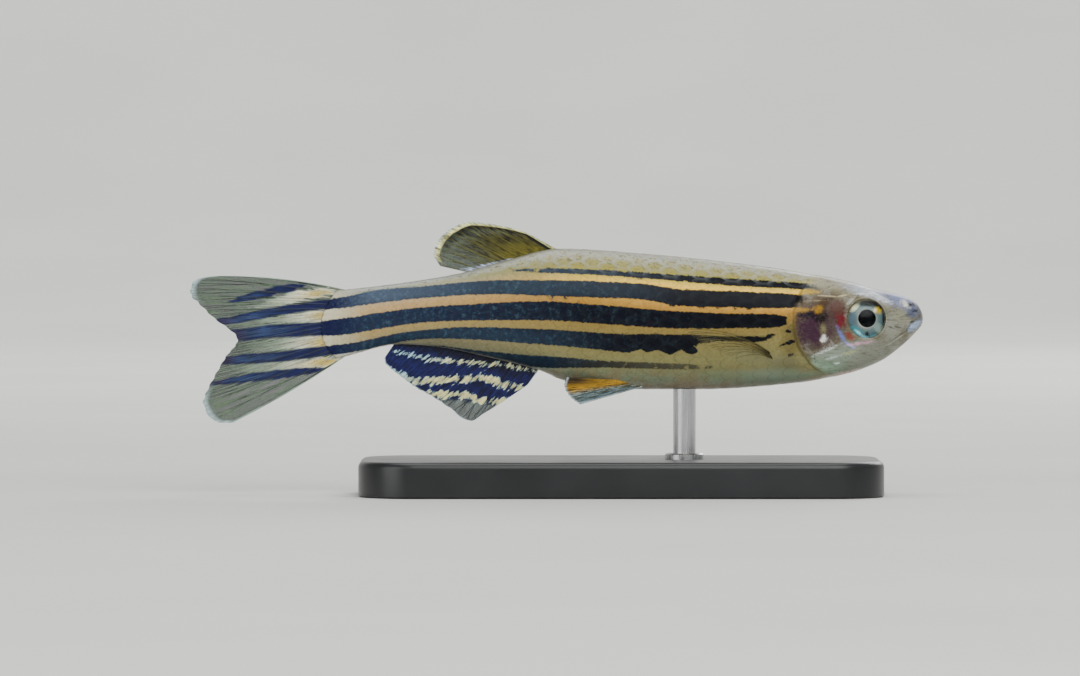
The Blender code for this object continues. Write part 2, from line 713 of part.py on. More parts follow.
def trimmed_fin(obj, origin, look):
    """Cuts the fin's root clear of the body by the gap and finishes it."""
    combine(obj, [grown_body(obj.name + "_trim")], "DIFFERENCE")
    keep_largest(obj)
    return finish(obj, origin, look)


def dorsal_fin():
    """Single fin on the back, its first rays short against the leading edge."""

    def root_at(share):
        d = between(*DORSAL_ROOT, share)
        return d, 0.0, smooth_value(BACK, d) + 0.05

    def tip_at(share):
        ripple = DORSAL_RIPPLE * math.sin(3.0 * share)
        return smooth_value(DORSAL_REACH, share), ripple, smooth_value(DORSAL_HEIGHT, share)

    obj = ray_fin("dorsal_fin", root_at, tip_at, DORSAL_RAYS, 6, FIN_SINK)
    return trimmed_fin(obj, place(*root_at(0.0)), DORSAL_FINISH)


def anal_fin():
    """Long fin under the tail, deepest in front."""

    def root_at(share):
        d = between(*ANAL_ROOT, share)
        return d, 0.0, smooth_value(BELLY, d) - 0.05

    def tip_at(share):
        ripple = ANAL_RIPPLE * math.sin(3.2 * share)
        return smooth_value(ANAL_REACH, share), ripple, smooth_value(ANAL_HEIGHT, share)

    obj = ray_fin("anal_fin", root_at, tip_at, ANAL_RAYS, 6, FIN_SINK)
    return trimmed_fin(obj, place(*root_at(0.0)), ANAL_FINISH)


def caudal_fin():
    """Forked tail fin with a longer lower lobe."""

    def root_at(share):
        d = BODY_END + 0.25
        top = smooth_value(BACK, d) - 0.02
        return d, 0.0, between(top, smooth_value(BELLY, d) + 0.02, share)

    def tip_at(share):
        ripple = CAUDAL_RIPPLE * math.cos(2 * math.pi * share)
        return smooth_value(CAUDAL_REACH, share), ripple, smooth_value(CAUDAL_HEIGHT, share)

    def bow(share):
        return CAUDAL_BOW_TOP * (1 - share) ** 2 + CAUDAL_BOW_LOW * share * share

    obj = ray_fin("caudal_fin", root_at, tip_at, CAUDAL_RAYS, 7, GAP, bow)
    return trimmed_fin(obj, place(BODY_END, 0.0, 0.0), CAUDAL_FINISH)


def pectoral_fin(name, sign):
    """Fin behind the gill cover, swept back, up and away from the flank."""

    def root_at(share):
        d, h = (between(first, last, share) for first, last in zip(*PECTORAL_ROOT))
        return d, sign * (flank_width(d, h) + 0.15), h

    def tip_at(share):
        spread = sign * smooth_value(PECTORAL_SPREAD, share)
        return smooth_value(PECTORAL_REACH, share), spread, smooth_value(PECTORAL_HEIGHT, share)

    def bow(share):
        return PECTORAL_BOW * (1 - share)

    obj = ray_fin(name, root_at, tip_at, PECTORAL_RAYS, 5, FIN_SINK, bow)
    return trimmed_fin(obj, place(*root_at(0.5)), PECTORAL_FINISH)


def pelvic_fin(name, sign):
    """Fin under the belly, swept back and down."""

    def root_at(share):
        d, h = (between(first, last, share) for first, last in zip(*PELVIC_ROOT))
        return d, sign * (flank_width(d, h + 0.1) + 0.05), h

    def tip_at(share):
        spread = sign * smooth_value(PELVIC_SPREAD, share)
        return smooth_value(PELVIC_REACH, share), spread, smooth_value(PELVIC_HEIGHT, share)

    obj = ray_fin(name, root_at, tip_at, PELVIC_RAYS, 5, FIN_SINK)
    return trimmed_fin(obj, place(*root_at(0.5)), PELVIC_FINISH)


def stand_base():
    """Flat rounded base with a hole that the rod stands in."""
    bpy.ops.mesh.primitive_cube_add(size=1.0)
    obj = bpy.context.object
    obj.name = "stand_base"
    size = Matrix.Diagonal((BASE_LENGTH * MM, BASE_DEPTH * MM, BASE_HEIGHT * MM, 1.0))
    obj.data.transform(Matrix.Translation((BASE_CENTRE_X * MM, 0.0, BASE_HEIGHT / 2 * MM)) @ size)
    work = bmesh.new()
    work.from_mesh(obj.data)
    upright = [e for e in work.edges if abs(e.verts[0].co.z - e.verts[1].co.z) > 0.5 * MM]
    bmesh.ops.bevel(work, geom=upright, offset=BASE_CORNER * MM, segments=8, profile=0.5, affect="EDGES")
    top = max(v.co.z for v in work.verts)
    rim = [
        e for e in work.edges
        if all(abs(v.co.z - top) < 1e-6 for v in e.verts) and e.calc_face_angle(0.0) > 0.5
    ]
    bmesh.ops.bevel(work, geom=rim, offset=BASE_EDGE * MM, segments=2, profile=0.5, affect="EDGES")
    work.to_mesh(obj.data)
    work.free()
    hole = turned(
        "rod_hole",
        [(0.0, 5.0), (ROD_RADIUS + GAP, 5.0), (ROD_RADIUS + GAP, -ROD_SINK), (0.0, -ROD_SINK)],
        24,
        Matrix.Translation((rod_x() * MM, 0.0, BASE_HEIGHT * MM)),
    )
    combine(obj, [hole], "DIFFERENCE")
    keep_largest(obj)
    return finish(obj, Vector((BASE_CENTRE_X * MM, 0.0, 0.0)), BASE_FINISH)


def rod_x():
    return TOTAL_LENGTH / 2 - ROD_BEHIND_SNOUT


def stand_rod():
    """Upright rod from the base's hole to the belly, its top shaped to the belly."""
    foot = BASE_HEIGHT - ROD_SINK + GAP
    tall = AXIS_HEIGHT - foot
    profile = [(0.0, tall), (ROD_RADIUS, tall), (ROD_RADIUS, 0.0), (0.0, 0.0)]
    obj = turned("stand_rod", profile, 20, Matrix.Translation((rod_x() * MM, 0.0, foot * MM)))
    combine(obj, [grown_body("rod_trim")], "DIFFERENCE")
    keep_largest(obj)
    return finish(obj, Vector((rod_x() * MM, 0.0, foot * MM)), ROD_FINISH)


def clear_scene():
    for obj in list(bpy.data.objects):
        bpy.data.objects.remove(obj)


def main():
    clear_scene()
    collection = bpy.data.collections.new("zebra_danio")
    bpy.context.scene.collection.children.link(collection)
    root = bpy.data.objects.new("zebra_danio_root", None)
    collection.objects.link(root)
    head()
    torso()
    tail()
    for sign, word in ((-1, "right"), (1, "left")):
        eye("eye_" + word, sign)
        pectoral_fin("pectoral_fin_" + word, sign)
        pelvic_fin("pelvic_fin_" + word, sign)
    dorsal_fin()
    anal_fin()
    caudal_fin()
    stand_base()
    stand_rod()


main()
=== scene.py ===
"""Looks of a life-size zebra danio model on its display stand.

The fish faces +X, with its right flank towards -Y and its back towards +Z. Tables and shape functions are
in millimetres: d is the distance behind the snout, y the distance to the left of the fish's middle plane and
h the height over its level axis. MM turns them to metres where a mesh is made.
"""

import math
from collections import namedtuple

import bmesh
import bpy
import numpy as np
from mathutils import Matrix, Vector


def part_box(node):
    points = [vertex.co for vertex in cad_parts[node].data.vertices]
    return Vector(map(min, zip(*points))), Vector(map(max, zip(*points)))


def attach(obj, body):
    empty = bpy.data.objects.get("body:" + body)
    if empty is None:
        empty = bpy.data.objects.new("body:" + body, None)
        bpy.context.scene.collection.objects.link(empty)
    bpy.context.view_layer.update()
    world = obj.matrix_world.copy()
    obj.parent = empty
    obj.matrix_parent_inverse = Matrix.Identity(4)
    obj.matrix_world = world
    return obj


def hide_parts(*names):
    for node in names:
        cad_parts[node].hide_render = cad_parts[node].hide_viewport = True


bl_info = {
    "name": "Zebra Danio Display Model",
    "version": (1, 0, 0),
    "blender": (4, 5, 0),
    "location": "View3D > Sidebar > Danio",
    "description": "Builds the finished looks of a life-size zebra danio on a display stand",
    "category": "Object",
}

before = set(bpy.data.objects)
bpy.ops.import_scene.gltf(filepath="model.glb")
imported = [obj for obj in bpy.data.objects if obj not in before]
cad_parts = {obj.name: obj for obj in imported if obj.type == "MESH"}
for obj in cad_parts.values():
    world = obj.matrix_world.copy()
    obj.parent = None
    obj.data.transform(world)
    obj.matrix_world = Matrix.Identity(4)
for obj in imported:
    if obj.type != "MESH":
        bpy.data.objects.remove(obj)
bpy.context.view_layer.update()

MM = 0.001
LENGTH = 45.0
AXIS_HEIGHT = 10.7

# Outline of the body: distance behind the snout with height over the axis or half width
BACK = (
    (0.0, 0.12), (0.06, 0.43), (0.5, 1.14), (1.4, 1.53), (3.2, 1.97), (4.5, 2.36), (7.5, 2.94), (10.6, 3.40),
    (16.7, 4.04), (22.2, 4.38), (25.9, 3.55), (28.3, 2.88), (32.0, 2.26), (35.4, 1.87), (36.9, 1.76),
)
BELLY = (
    (0.0, 0.02), (0.06, -0.24), (0.5, -0.80), (1.4, -1.65), (2.6, -2.51), (4.5, -3.24), (7.5, -3.83),
    (13.6, -4.25), (17.3, -4.25), (21.9, -3.73), (23.4, -3.12), (25.9, -2.45), (30.2, -1.60), (32.0, -1.50),
    (35.4, -2.26), (36.9, -2.62),
)
HALF_WIDTH = (
    (0.0, 0.20), (0.06, 0.46), (0.5, 0.98), (1.4, 1.45), (2.6, 1.83), (3.6, 2.05), (5.5, 2.25), (7.5, 2.38),
    (11.0, 2.55), (15.0, 2.60), (19.0, 2.50), (22.0, 2.25), (25.9, 1.75), (29.0, 1.30), (32.0, 0.98),
    (35.4, 0.46), (36.9, 0.07),
)
WAIST = ((0.0, 0.08), (1.4, 0.12), (3.6, 0.05), (7.5, -0.20), (15.0, -0.20), (24.0, 0.30), (36.9, -0.20))
FULLNESS = ((0.0, 2.2), (2.0, 2.5), (4.5, 2.5), (9.0, 2.25), (20.0, 2.15), (36.9, 2.0))
SKIN_START = 0.004
SKIN_END = 36.9

# Sweep of the tail to the left, and the round bow of the body's end under the tail fin
SWAY = 1.1
SWAY_START = 23.0
END_BOW = 0.22
END_MIDDLE = -0.43
END_START = 34.6

# Gill cover, whose rear edge is an ellipse in side view
GILL_CENTRE = (4.77, -0.06)
GILL_BACK = 3.20
GILL_UP = 3.30
GILL_DOWN = 3.42
GILL_RAISE = 0.16
THROAT_EDGE = ((7.5, -1.96), (6.8, -2.45), (6.0, -2.69), (5.0, -2.62))

# Eye, in side view and in its own frame, where z looks out of the head
EYE_CENTRE = (3.55, 0.12)
EYE_RADIUS = 1.20
EYE_INSET = 0.12
EYE_YAW = math.radians(9.0)
EYE_PITCH = math.radians(7.0)
PUPIL_RADIUS = 0.56
BALL_DEPTH = 0.8
CORNEA_RADIUS = 1.24
CORNEA_RISE = 0.36
LENS_LEVEL = 0.18
LENS_BULGE = 0.08
IRIS_LEVEL = 0.05
IRIS_BULGE = 0.15

# Hollow of the eye in the skin: where it is flat and how high, how far out it reaches and how deep it is
ORBIT_FLAT = 1.28
ORBIT_LEVEL = 0.05
ORBIT_RADIUS = 1.80
ORBIT_DEPTH = 0.45

# Mouth, nostrils and feelers
MOUTH_LINE = ((-0.30, 0.20), (0.10, 0.10), (0.65, -0.14), (1.05, -0.62))
NOSTRILS = ((0.86, 0.86, 0.11), (1.26, 1.00, 0.15))
LONG_FEELER = ((0.95, -0.62), (1.45, -0.98), (2.1, -1.42), (3.0, -1.78))
LONG_FEELER_OFF = ((0.95, -0.10), (1.35, 0.10), (2.1, 0.20), (3.0, 0.26))
SHORT_FEELER = ((0.48, 0.36), (0.85, 0.44), (1.25, 0.38), (1.70, 0.22))
SHORT_FEELER_OFF = ((0.48, -0.10), (0.85, 0.08), (1.25, 0.16), (1.70, 0.20))
FEELER_RADIUS = 0.085
FEELER_TAPER = 0.06

# Grooves and rims: place by the measure that they follow, depth or height, and width
GILL_GROOVE = (1.05, 0.06, 0.03)
CHEEK_GROOVE = (0.46, 0.03, 0.05)
THROAT_GROOVE = (0.0, 0.05, 0.07)
MOUTH_GROOVE = (0.0, 0.13, 0.055)
LIPS = (0.14, 0.055, 0.07)
ORBIT_RIM = (1.27, 0.06, 0.06)
ORBIT_GROOVE = (1.42, 0.05, 0.07)
PUPIL_RIM = (0.63, 0.02, 0.05)

# Scales: length, width, rise and wobble of one scale as shares of its field, share of the coat's depth that
# they are sunk, how far the bare skin reaches behind the gill cover, over the head and in front of the body's
# end, and the angle of a crease
SCALE_LENGTH = 0.86
SCALE_WIDTH = 0.62
SCALE_RISE = 0.015
SCALE_WOBBLE = 0.03
SCALE_SINK = 0.55
BARE_RING = 1.13
BARE_HEAD = 6.8
BARE_END = 0.45
SCALE_CREASE = math.radians(50)

# Dark stripes of the flank from the back down: distance behind the snout, height and half width
STRIPES = (
    ((6.5, 2.02, 0.05), (7.5, 2.10, 0.17), (12.4, 2.39, 0.19), (14.9, 2.58, 0.16), (19.2, 2.91, 0.14),
     (22.2, 3.03, 0.13), (25.5, 3.06, 0.01)),
    ((7.3, 1.21, 0.28), (8.2, 1.21, 0.40), (10.0, 1.24, 0.45), (12.4, 1.32, 0.46), (14.9, 1.41, 0.48),
     (17.3, 1.78, 0.45), (21.0, 1.93, 0.47), (25.9, 2.03, 0.40), (30.8, 1.70, 0.34), (33.2, 1.47, 0.38),
     (35.7, 1.04, 0.30), (37.5, 0.85, 0.25)),
    ((8.4, 0.02, 0.22), (9.2, -0.01, 0.38), (12.4, 0.00, 0.43), (14.9, 0.05, 0.49), (19.2, 0.34, 0.54),
     (23.4, 0.60, 0.55), (28.3, 0.47, 0.46), (30.8, 0.31, 0.44), (33.2, -0.03, 0.47), (35.7, -0.43, 0.48),
     (37.5, -0.58, 0.37)),
    ((9.1, -0.78, 0.08), (9.5, -0.98, 0.14), (10.2, -1.11, 0.15), (12.4, -1.09, 0.12), (13.6, -1.14, 0.22),
     (14.8, -1.30, 0.42), (15.6, -1.46, 0.58), (16.3, -1.30, 0.44), (16.9, -1.38, 0.53), (17.4, -1.28, 0.44),
     (18.1, -1.38, 0.54), (19.2, -1.30, 0.50), (23.4, -0.98, 0.44), (28.3, -0.78, 0.33), (30.8, -0.90, 0.25),
     (35.1, -1.71, 0.26), (37.5, -2.02, 0.27)),
    ((12.7, -2.84, 0.03), (14.9, -2.80, 0.14), (19.2, -2.66, 0.18), (23.4, -2.52, 0.34), (27.1, -2.20, 0.31),
     (29.6, -1.90, 0.31), (32.4, -1.70, 0.05)),
)
STRAY_SPOTS = (
    ((13.8, -1.82, 0.06), (14.2, -1.82, 0.22), (14.7, -1.76, 0.08)),
    ((8.15, -0.62, 0.05), (8.4, -0.66, 0.13), (8.62, -0.70, 0.05)),
    ((7.95, -1.25, 0.04), (8.15, -1.30, 0.12), (8.4, -1.34, 0.04)),
    ((8.65, -1.55, 0.03), (8.85, -1.60, 0.09), (9.05, -1.62, 0.03)),
    ((8.0, -2.05, 0.03), (8.2, -2.10, 0.08), (8.4, -2.12, 0.03)),
)

# Tail fin: dark streaks and the bright ones between them
TAIL_DARK = (
    ((37.8, 2.10, 0.06), (38.8, 1.96, 0.22), (40.5, 1.59, 0.25), (41.8, 1.28, 0.16), (42.6, 1.10, 0.02)),
    ((34.5, 1.19, 0.34), (36.9, 0.92, 0.27), (39.4, 0.55, 0.26), (41.2, 0.18, 0.25), (43.0, -0.10, 0.20),
     (43.6, -0.18, 0.04)),
    ((34.5, -0.24, 0.48), (36.9, -0.55, 0.40), (39.4, -0.67, 0.39), (42.6, -1.02, 0.36)),
    ((34.5, -1.58, 0.26), (37.5, -2.02, 0.31), (39.4, -2.26, 0.31), (41.2, -2.39, 0.30), (43.0, -2.53, 0.22)),
    ((36.6, -2.98, 0.03), (37.6, -3.14, 0.20), (38.7, -3.26, 0.26), (40.6, -3.49, 0.26), (43.9, -3.95, 0.10)),
)
TAIL_LIGHT = (
    ((36.0, 1.72, 0.16), (37.4, 1.58, 0.34), (38.9, 1.25, 0.30), (40.0, 1.02, 0.20), (41.3, 0.78, 0.02)),
    ((34.8, 0.45, 0.45), (37.5, 0.18, 0.34), (40.0, -0.05, 0.26), (42.6, -0.46, 0.22), (43.2, -0.55, 0.10)),
    ((34.8, -1.12, 0.50), (36.6, -1.32, 0.46), (38.5, -1.45, 0.34), (41.0, -1.62, 0.28), (43.2, -1.80, 0.16)),
    ((35.4, -2.42, 0.10), (36.8, -2.60, 0.36), (38.4, -2.76, 0.34), (41.0, -2.90, 0.26), (43.8, -3.15, 0.16)),
)

# Anal fin: bright bands and the dusky tip, the rest being blue
ANAL_LIGHT = (
    ((23.5, -3.16, 0.03), (25.9, -2.72, 0.08), (28.3, -2.57, 0.09), (30.2, -2.39, 0.09), (32.3, -1.94, 0.03)),
    ((24.2, -4.30, 0.14), (25.9, -3.86, 0.17), (27.1, -3.60, 0.16), (29.6, -3.67, 0.17), (30.8, -3.76, 0.18),
     (32.0, -3.37, 0.16), (32.9, -2.90, 0.08)),
    ((25.4, -4.98, 0.12), (26.8, -4.98, 0.16), (28.0, -4.60, 0.14), (29.6, -4.56, 0.15), (30.7, -4.60, 0.12)),
)
ANAL_DUSK = (((25.9, -5.95, 0.70), (27.5, -5.80, 0.82), (30.2, -5.40, 0.62)),)

# Streak along the rear of the dorsal fin's root
DORSAL_LIGHT = (((24.8, 3.75, 0.02), (25.8, 3.52, 0.13), (27.4, 3.16, 0.12), (28.8, 2.98, 0.02)),)
FIN_BANDS = {"caudal": (TAIL_DARK, TAIL_LIGHT), "anal": (ANAL_DUSK, ANAL_LIGHT), "dorsal": ((), DORSAL_LIGHT)}

# Single fins: root, and where the rays end by their share of the way back
DORSAL_ROOT = (22.15, 27.7)
DORSAL_REACH = (
    (0.0, 24.2), (0.12, 25.3), (0.25, 26.6), (0.4, 27.85), (0.55, 28.95), (0.7, 29.7), (0.85, 29.96),
    (1.0, 29.56),
)
DORSAL_HEIGHT = (
    (0.0, 5.32), (0.12, 5.66), (0.25, 5.90), (0.4, 6.00), (0.55, 5.57), (0.7, 4.83), (0.85, 4.04),
    (1.0, 3.30),
)
ANAL_ROOT = (23.45, 32.3)
ANAL_REACH = (
    (0.0, 24.2), (0.06, 25.7), (0.12, 26.9), (0.18, 27.7), (0.28, 29.1), (0.40, 30.1), (0.54, 31.1),
    (0.70, 31.9), (0.85, 32.6), (0.94, 32.93), (1.0, 32.95),
)
ANAL_HEIGHT = (
    (0.0, -3.98), (0.06, -5.0), (0.12, -5.75), (0.18, -6.2), (0.28, -5.3), (0.40, -4.65), (0.54, -4.1),
    (0.70, -3.5), (0.85, -2.95), (0.94, -2.58), (1.0, -2.3),
)
TAIL_FIN_START = 35.35
TAIL_FIN_REACH = (
    (0.0, 42.9), (0.03, 44.1), (0.065, 44.7), (0.10, 44.93), (0.15, 44.88), (0.21, 44.45), (0.30, 43.6),
    (0.46, 42.0), (0.62, 42.76), (0.74, 43.5), (0.83, 44.0), (0.89, 44.15), (0.94, 43.75), (0.97, 43.2),
    (1.0, 42.3),
)
TAIL_FIN_HEIGHT = (
    (0.0, 2.69), (0.03, 2.62), (0.065, 2.35), (0.10, 1.92), (0.15, 1.49), (0.21, 1.05), (0.30, 0.22),
    (0.46, -1.20), (0.62, -2.32), (0.74, -3.6), (0.83, -4.6), (0.89, -5.15), (0.94, -5.97), (0.97, -6.34),
    (1.0, -6.33),
)

# Paired fins, the spread being away from the middle plane
PECTORAL_ROOT = ((9.14, -2.14), (9.02, -2.46))
PECTORAL_REACH = ((0.0, 14.75), (0.3, 14.1), (0.55, 13.2), (0.8, 12.3), (1.0, 11.5))
PECTORAL_HEIGHT = ((0.0, -0.46), (0.3, -1.0), (0.55, -1.53), (0.8, -1.96), (1.0, -2.33))
PECTORAL_SPREAD = ((0.0, 4.7), (0.5, 4.4), (1.0, 3.6))
PELVIC_ROOT = ((17.1, -4.05), (18.5, -3.65))
PELVIC_REACH = ((0.0, 21.0), (0.35, 21.6), (0.7, 21.95), (1.0, 21.8))
PELVIC_HEIGHT = ((0.0, -5.12), (0.35, -4.65), (0.7, -4.0), (1.0, -3.45))
PELVIC_SPREAD = ((0.0, 2.0), (0.5, 2.25), (1.0, 2.30))

# How deep the roots of fins on the middle plane and of paired ones are sunk in the body
MIDDLE_SINK = 0.15
PAIRED_SINK = 0.12

# Rays: how far the outermost ones lie from a fin's edges in spacings of its rays, points along a whole ray,
# where spines and twigs end, spread of limbs and twigs in spacings, and thickness past each fork
EDGE_SHARE = 0.25
RAY_STEPS = 30
SPINE_END = 0.985
TWIG_END = 0.992
LIMB_SPREAD = 0.26
TWIG_SPREAD = 0.11
LIMB_THICKNESS = 0.75
TWIG_THICKNESS = 0.6

# Membrane: columns for each ray, rows, depth of the scallops between ray tips and thinning at the rim
RAY_COLUMNS = 8
MEMBRANE_ROWS = 44
SCALLOP = 0.010
RIM_THINNING = 0.6

# Photograph: its frame in pixels, the size of a pixel at the fish and what the middle of the frame looks at
PHOTO_WIDE = 1080
PHOTO_TALL = 676
PIXEL_MM = 0.0612
SNOUT_PIXEL_X = 923
AXIS_PIXEL_Y = 320

# Places of the sockets of Blender's mix node for colours
SHARE, FIRST, SECOND, MIXED = 0, 6, 7, 2

# Display stand: radius of the base's corners, chamfer of its lower edge, washer at the rod's foot, how far
# the rod's top is sunk into the scales, and the angle of a crease
BASE_CORNER = 3.5
BASE_CHAMFER = 0.12
WASHER_REACH = 0.50
WASHER_RISE = 0.36
ROD_SINK = 0.10
STAND_CREASE = math.radians(40)


def curve(points, x):
    """Value at x of a smooth curve through (x, value) points, with no overshoot; x may be an array."""
    knots = np.array(points, float)
    xs, ys = knots[:, 0], knots[:, 1]
    slope = np.diff(ys) / np.diff(xs)
    turn = np.concatenate([slope[:1], np.zeros(len(xs) - 2), slope[-1:]])
    before, after = slope[:-1], slope[1:]
    same = before * after > 0
    turn[1:-1][same] = (2 * before * after)[same] / (before + after)[same]
    x = np.clip(x, xs[0], xs[-1])
    i = np.clip(np.searchsorted(xs, x, side="right") - 1, 0, len(xs) - 2)
    span = xs[i + 1] - xs[i]
    t = (x - xs[i]) / span
    start = ys[i] * (1 + 2 * t) * (1 - t) ** 2 + turn[i] * span * t * (1 - t) ** 2
    end = ys[i + 1] * t * t * (3 - 2 * t) + turn[i + 1] * span * t * t * (t - 1)
    return start + end


def soft_step(low, high, x):
    """0 below low, 1 above high, and a smooth rise between."""
    t = np.clip((x - low) / (high - low), 0.0, 1.0)
    return t * t * (3 - 2 * t)


def hump(x, width):
    """1 where x is 0, falling smoothly to nothing about two widths away."""
    return np.exp(-((x / width) ** 2))


def fold(gap, shape):
    """Depth or height of a groove or rim at a distance from what it follows."""
    middle, rise, width = shape
    return rise * hump(gap - middle, width)


def place(d, y, h):
    """Points in metres of places on the fish."""
    reach = np.maximum(0.0, (d - SWAY_START) / (LENGTH - SWAY_START))
    return np.stack([LENGTH / 2 - d, y + SWAY * reach * reach, AXIS_HEIGHT + h], axis=-1) * MM


def section(d, angle):
    """(y, h) of the body's surface at d, at an angle from the back round by the left side."""
    waist = curve(WAIST, d)
    power = 2 / curve(FULLNESS, d)
    side, rise = np.sin(angle), np.cos(angle)
    reach = np.where(rise > 0, curve(BACK, d) - waist, waist - curve(BELLY, d))
    y = curve(HALF_WIDTH, d) * np.sign(side) * np.abs(side) ** power
    return y, waist + reach * np.sign(rise) * np.abs(rise) ** power


def rounded_end(d, angle):
    """Distance behind the snout with the body's rear end drawn forward above and below its middle."""
    h = section(d, angle)[1]
    return d - END_BOW * (h - END_MIDDLE) ** 2 * soft_step(END_START, SKIN_END, d)


def flank_width(d, h):
    """Half width of the body at d and height h."""
    waist, full = curve(WAIST, d), curve(FULLNESS, d)
    reach = np.where(h > waist, curve(BACK, d) - waist, waist - curve(BELLY, d))
    share = np.minimum(np.abs(h - waist) / reach, 0.999)
    return curve(HALF_WIDTH, d) * (1 - share**full) ** (1 / full)


def gill_ring(d, h):
    """1 on the rear edge of the gill cover, less inside it, and 0 in front of its centre."""
    back = (d - GILL_CENTRE[0]) / GILL_BACK
    side = h - GILL_CENTRE[1]
    return np.where(back > 0, np.hypot(back, side / np.where(side > 0, GILL_UP, GILL_DOWN)), 0.0)


def gap_to_line(d, h, line):
    """Distance in side view from places to a smooth line through (d, h) points."""
    ends = sorted(line)
    at = np.linspace(ends[0][0], ends[-1][0], 60)
    up = curve(ends, at)
    gap = np.full(np.shape(d), 99.0)
    for spot_d, spot_h in zip(at, up):
        gap = np.minimum(gap, np.hypot(d - spot_d, h - spot_h))
    return gap


def stripe_depth(d, h, stripes):
    """How far a place lies inside the nearest stripe, in millimetres, and less than 0 outside all of them."""
    depth = np.full(np.shape(d), -9.0)
    for stripe in stripes:
        middle = curve([(spot[0], spot[1]) for spot in stripe], d)
        half = curve([(spot[0], spot[2]) for spot in stripe], d)
        ends = np.minimum(d - stripe[0][0], stripe[-1][0] - d)
        depth = np.maximum(depth, np.minimum(half - np.abs(h - middle), ends))
    return depth


def flank_tier(d, h):
    """0 on the ridge of the back, 1 to 5 along the middles of the dark stripes, and 6 on the belly's keel."""
    middles = [curve([(spot[0], spot[1]) for spot in stripe], d) for stripe in STRIPES]
    ridge = curve(BACK, d)
    middles[0] = np.minimum(middles[0], ridge + 0.45 * (middles[1] - ridge))
    levels = [ridge, *middles, curve(BELLY, d)]
    tier = 0.0
    for upper, lower in zip(levels, levels[1:]):
        tier = tier + np.clip((upper - h) / np.maximum(upper - lower, 0.05), 0.0, 1.0)
    return tier


def fetch(items, key, width):
    """One property of every item of a mesh, such as its vertices, as rows of width numbers."""
    values = np.empty(len(items) * width)
    items.foreach_get(key, values)
    return values.reshape(-1, width)


def side_places(mesh):
    """(d, h) of each vertex of a mesh."""
    spots = fetch(mesh.vertices, "co", 3) / MM
    return LENGTH / 2 - spots[:, 0], spots[:, 2] - AXIS_HEIGHT


def note(mesh, name, values):
    """Keeps one number for each vertex of a mesh, for its material to read."""
    attribute = mesh.attributes.new(name, "FLOAT", "POINT")
    attribute.data.foreach_set("value", np.asarray(values, np.float32))


def note_flank(mesh):
    """Keeps the markings of skin and scales.

    They say how deep in a dark stripe a place is, how far down the flank, how near the ridge or the keel and
    whether it is on the head.
    """
    d, h = side_places(mesh)
    note(mesh, "stripe", stripe_depth(d, h, STRIPES + STRAY_SPOTS))
    note(mesh, "tier", flank_tier(d, h) / 6)
    note(mesh, "aside", flank_width(d, h) / curve(HALF_WIDTH, d))
    note(mesh, "head", np.where(d < GILL_CENTRE[0], 1.0, 1 - soft_step(0.93, 1.06, gill_ring(d, h))))


def grid_faces(rows, columns, joined=False, first=0):
    """Faces of a grid of points kept row by row; joined closes each row into a ring."""
    i = np.arange(rows - 1)[:, None] * columns
    k = np.arange(columns if joined else columns - 1)[None, :]
    after = (k + 1) % columns
    corners = (i + k, i + after, i + columns + after, i + columns + k)
    return (np.stack(corners, axis=-1).reshape(-1, 4) + first).tolist()


def solid_from(name, mesh):
    """A smooth piece from a mesh of closed shells, whose faces are turned to look outwards."""
    work = bmesh.new()
    work.from_mesh(mesh)
    if work.calc_volume(signed=True) < 0:
        bmesh.ops.reverse_faces(work, faces=work.faces)
    work.to_mesh(mesh)
    work.free()
    mesh.name = name
    mesh.shade_smooth()
    obj = bpy.data.objects.new(name, mesh)
    bpy.context.scene.collection.objects.link(obj)
    return obj


def solid(name, points, faces, materials):
    """A closed, smooth piece from points and faces."""
    mesh = bpy.data.meshes.new(name)
    mesh.from_pydata(np.asarray(points).reshape(-1, 3).tolist(), [], faces)
    work = bmesh.new()
    work.from_mesh(mesh)
    bmesh.ops.recalc_face_normals(work, faces=work.faces)
    work.to_mesh(mesh)
    work.free()
    for material in materials:
        mesh.materials.append(material)
    return solid_from(name, mesh)


def settle(obj, nodes=()):
    """Lets a finished piece ride on the model and stand for its CAD nodes, which it hides."""
    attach(obj, "root")
    if nodes:
        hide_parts(*nodes)


def made_by_nodes(name, points, edges, tree, values, numbers=None):
    """Runs a Geometry Nodes tree on points and edges, and returns the plain mesh that it makes."""
    source = bpy.data.meshes.new(name)
    source.from_pydata(np.asarray(points).reshape(-1, 3).tolist(), edges, [])
    for key, column in (numbers or {}).items():
        note(source, key, column)
    obj = bpy.data.objects.new(name + "_source", source)
    bpy.context.scene.collection.objects.link(obj)
    modifier = obj.modifiers.new("Shape", "NODES")
    modifier.node_group = tree
    sockets = {item.name: item.identifier for item in tree.interface.items_tree if item.in_out == "INPUT"}
    for key, value in values.items():
        modifier[sockets[key]] = value
    bpy.context.view_layer.update()
    graph = bpy.context.evaluated_depsgraph_get()
    mesh = bpy.data.meshes.new_from_object(obj.evaluated_get(graph))
    bpy.data.objects.remove(obj)
    if not mesh.polygons:
        raise RuntimeError(f"{name} came out empty")
    finishes = [material for material in mesh.materials if material]
    mesh.materials.clear()
    for material in finishes:
        mesh.materials.append(material)
    mesh.polygons.foreach_set("material_index", np.zeros(len(mesh.polygons), np.int32))
    return mesh


def paint(code):
    """An sRGB colour, written as hex, as linear red, green, blue and alpha."""
    parts = [int(code[k:k + 2], 16) / 255 for k in (1, 3, 5)]
    return (*[c / 12.92 if c <= 0.04045 else ((c + 0.055) / 1.055) ** 2.4 for c in parts], 1.0)


def tint(colour):
    """A colour for a socket or a stop, from a hex code or from three numbers."""
    return paint(colour) if isinstance(colour, str) else (*colour, 1.0)[:4]


